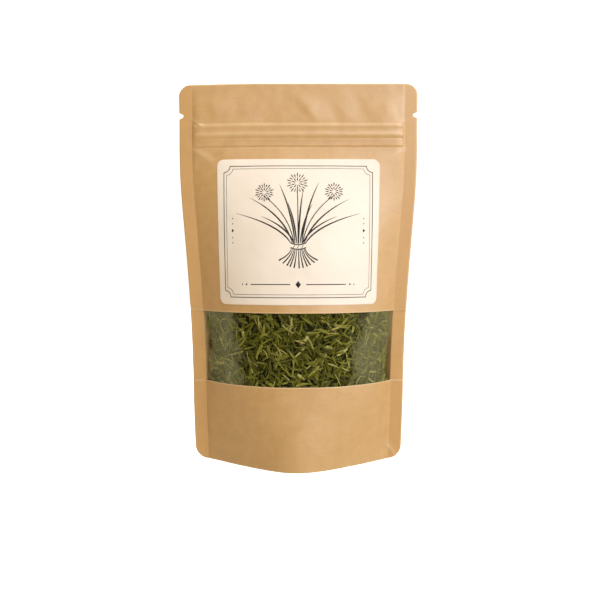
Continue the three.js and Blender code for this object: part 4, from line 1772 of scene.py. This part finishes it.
    def unwrap_slivers(self, bm: Mesh, along: Array, beside: Array) -> None:
        """Gives each sliver a place along and across itself, and its own stretch of the map."""
        number = np.arange(along.shape[0])[:, None] * self.map_steps[0]
        across = beside * 0.5 + number * self.map_steps[1]
        lay_map(bm, np.stack([(along + number).ravel(), across.ravel()], axis=-1))


@dataclass
class ZipTracks:
    """The zip's two strips, whose own shapes in the model are right and only need their plastic."""

    finishes: Finishes
    nodes: tuple[str, ...] = ("zip_rib_track", "zip_groove_track")

    def dress(self) -> None:
        """Puts the zip's plastic on both strips."""
        for name in self.nodes:
            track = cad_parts[name]
            track.data.materials.clear()
            track.data.materials.append(self.finishes.zip)
            log.info("%s: kept, in milky plastic", name)


# Studio

class Lights(Enum):
    """What a lamp lights."""

    ALL_BUT_FILM = "EXCLUDE"
    FILM_ONLY = "INCLUDE"


@dataclass(frozen=True)
class Lamp:
    """A soft rectangular light that faces the pouch.

    Attributes:
        name: its name.
        azimuth: the side it stands on in degrees, 0 in front and 90 at the right.
        elevation: how high it stands above the pouch's middle, in degrees.
        distance: from the pouch's middle, in metres.
        size: its width and height, in metres.
        level: how bright it makes a white surface that faces it.
        colour: its colour.
        lights: what it lights.
    """

    name: str
    azimuth: float
    elevation: float
    distance: float
    size: Pair
    level: float
    colour: Triple = (1.0, 1.0, 1.0)
    lights: Lights = Lights.ALL_BUT_FILM

    def place(self, aim: Vector) -> Vector:
        """Gives where it hangs."""
        azimuth, elevation = math.radians(self.azimuth), math.radians(self.elevation)
        flat = self.distance * math.cos(elevation)
        return aim + Vector((flat * math.sin(azimuth), -flat * math.cos(azimuth),
                             self.distance * math.sin(elevation)))

    def power(self) -> float:
        """Gives its power in watts."""
        return self.level * math.pi ** 2 * self.distance ** 2


@dataclass
class Studio:
    """A round white bowl for a floor and backdrop, soft lights, and the camera at the photograph's angle."""

    film: Piece
    pixels: float = 600.0
    sensor: float = 36.0
    focal_pixels: float = 737.4
    horizon_row: float = 257.5
    camera_place: Triple = (0.001, -0.433, 0.1176)
    bowl_radius: float = 2.4
    bowl_height: float = 2.2
    bowl_cove: float = 0.9
    cove_steps: int = 12
    spin_steps: int = 96
    merge: float = 1e-3
    floor_ring: float = 0.6
    bowl_grain: Pattern = Pattern(0.004, 2)
    bowl_whites: tuple = ((0.3, (0.86, 0.86, 0.86, 1.0)), (0.7, (0.88, 0.88, 0.88, 1.0)))
    bowl_roughness: float = 0.9
    glow: float = 0.75
    glow_colour: Colour = (1.0, 1.0, 1.0, 1.0)
    above: Colour = (0.18, 0.152, 0.115, 1.0)
    below: Colour = (0.82, 0.69, 0.485, 1.0)
    sky_heights: Pair = (-0.6, 0.4)
    clip_start: float = 0.01
    aim: Triple = (0.0, 0.0, 0.11)
    lamps: tuple = (
        Lamp("key", 35, 28, 1.3, (1.0, 1.0), 0.65, (0.94, 1.0, 1.12)),
        Lamp("back", 205, 25, 1.3, (1.1, 1.1), 0.55, (1.0, 0.98, 0.95)),
        Lamp("side", 72, 8, 1.3, (1.0, 1.0), 0.18, (0.95, 1.0, 1.06)),
        Lamp("top", 0, 88, 1.5, (1.0, 1.0), 0.76, (1.0, 0.88, 0.72)),
        Lamp("left_veil", -62, 6, 1.2, (1.0, 1.0), 0.34, (1.0, 0.98, 0.86), Lights.FILM_ONLY),
        Lamp("right_veil", 62, 6, 1.2, (1.0, 1.0), 0.66, (1.0, 0.96, 0.76), Lights.FILM_ONLY),
    )

    def build(self) -> None:
        """Makes the bowl, the lights, the sky and the camera."""
        self.build_bowl()
        for lamp in self.lamps:
            self.hang(lamp)
        self.build_sky()
        self.set_camera()
        view = bpy.context.scene.view_settings
        view.view_transform = "Standard"
        view.look = "None"

    def bowl_material(self) -> Material:
        """Makes the bowl's white, which glows a little of itself."""
        shader = Shader("studio white")
        grain = shader.noise(shader.object_place(), self.bowl_grain)
        colour = shader.ramp(grain, self.bowl_whites)
        return shader.finished(shader.surface(
            Base_Color=colour, Roughness=self.bowl_roughness, Emission_Color=self.glow_colour,
            Emission_Strength=self.glow,
        ))

    def build_bowl(self) -> None:
        """Spins the bowl from its profile: a flat floor, a round cove and an upright wall.

        Only the camera sees it, so that the light round the pouch comes from the sky and the lamps alone.
        """
        bm = bmesh.new()
        centre = self.bowl_radius - self.bowl_cove
        points = [(0.0, 0.0), (self.floor_ring, 0.0), (centre, 0.0)]
        for i in range(1, self.cove_steps + 1):
            angle = i / self.cove_steps * math.pi / 2
            out, up = self.bowl_cove * math.sin(angle), self.bowl_cove * (1 - math.cos(angle))
            points.append((centre + out, up))
        points.append((self.bowl_radius, self.bowl_height))
        profile = [bm.verts.new((x / MM, 0, z / MM)) for x, z in points]
        edges = [bm.edges.new(pair) for pair in zip(profile, profile[1:])]
        bmesh.ops.spin(bm, geom=profile + edges, cent=(0, 0, 0), axis=(0, 0, 1), angle=2 * math.pi,
                       steps=self.spin_steps, use_merge=True)
        bmesh.ops.remove_doubles(bm, verts=bm.verts[:], dist=self.merge)
        bmesh.ops.recalc_face_normals(bm, faces=bm.faces[:])
        bowl = to_piece(bm, "studio_bowl", [self.bowl_material()])
        bowl.visible_glossy = False
        bowl.visible_diffuse = False
        bowl.visible_shadow = False

    def hang(self, lamp: Lamp) -> None:
        """Adds one light, turned to the pouch and linked to what it lights."""
        light = bpy.data.lights.new(lamp.name, "AREA")
        light.shape = "RECTANGLE"
        light.size, light.size_y = lamp.size
        light.energy = lamp.power()
        light.color = lamp.colour
        holder = bpy.data.objects.new(lamp.name, light)
        holder.location = lamp.place(Vector(self.aim))
        holder.rotation_euler = (Vector(self.aim) - holder.location).to_track_quat("-Z", "Y").to_euler()
        holder.visible_camera = False
        bpy.context.scene.collection.objects.link(holder)
        group = bpy.data.collections.new(lamp.name + " lights")
        group.objects.link(self.film)
        group.collection_objects[0].light_linking.link_state = lamp.lights.value
        holder.light_linking.receiver_collection = group

    def build_sky(self) -> None:
        """Gives the world a soft warm light, brighter from below, as off a white floor."""
        world = bpy.data.worlds.new("studio sky")
        world.use_nodes = True
        nodes, links = world.node_tree.nodes, world.node_tree.links
        place = nodes.new("ShaderNodeTexCoord")
        split = nodes.new("ShaderNodeSeparateXYZ")
        height = nodes.new("ShaderNodeMapRange")
        height.inputs["From Min"].default_value = self.sky_heights[0]
        height.inputs["From Max"].default_value = self.sky_heights[1]
        ramp = nodes.new("ShaderNodeValToRGB")
        ramp.color_ramp.elements[0].color = self.below
        ramp.color_ramp.elements[1].color = self.above
        links.new(place.outputs["Generated"], split.inputs[0])
        links.new(split.outputs["Z"], height.inputs["Value"])
        links.new(height.outputs[0], ramp.inputs["Fac"])
        links.new(ramp.outputs["Color"], nodes["Background"].inputs["Color"])
        bpy.context.scene.world = world

    def set_camera(self) -> None:
        """Places the camera where the photograph was taken from, looking level along +Y."""
        data = bpy.data.cameras.new("camera")
        data.sensor_width = self.sensor
        data.lens = self.focal_pixels * self.sensor / self.pixels
        data.shift_y = (self.horizon_row - self.pixels / 2) / self.pixels
        data.clip_start = self.clip_start
        camera = bpy.data.objects.new("camera", data)
        camera.location = self.camera_place
        camera.rotation_euler = (math.pi / 2, 0, 0)
        bpy.context.scene.collection.objects.link(camera)
        bpy.context.scene.camera = camera


def main() -> None:
    """Builds the pouch piece by piece, then the studio around it."""
    logging.basicConfig(level=logging.INFO, format="%(message)s")
    form = PouchForm()
    finishes = Finishes.make(form.height)
    shell = KraftShell(form, finishes)
    shell.build()
    film = WindowFilm(shell)
    clear_piece = film.build()
    gusset = BottomGusset(shell)
    gusset.build()
    Label(shell).build()
    LeafFill(form, film, finishes, gusset).build()
    ZipTracks(finishes).dress()
    Studio(clear_piece).build()


if __name__ == "__main__":
    main()
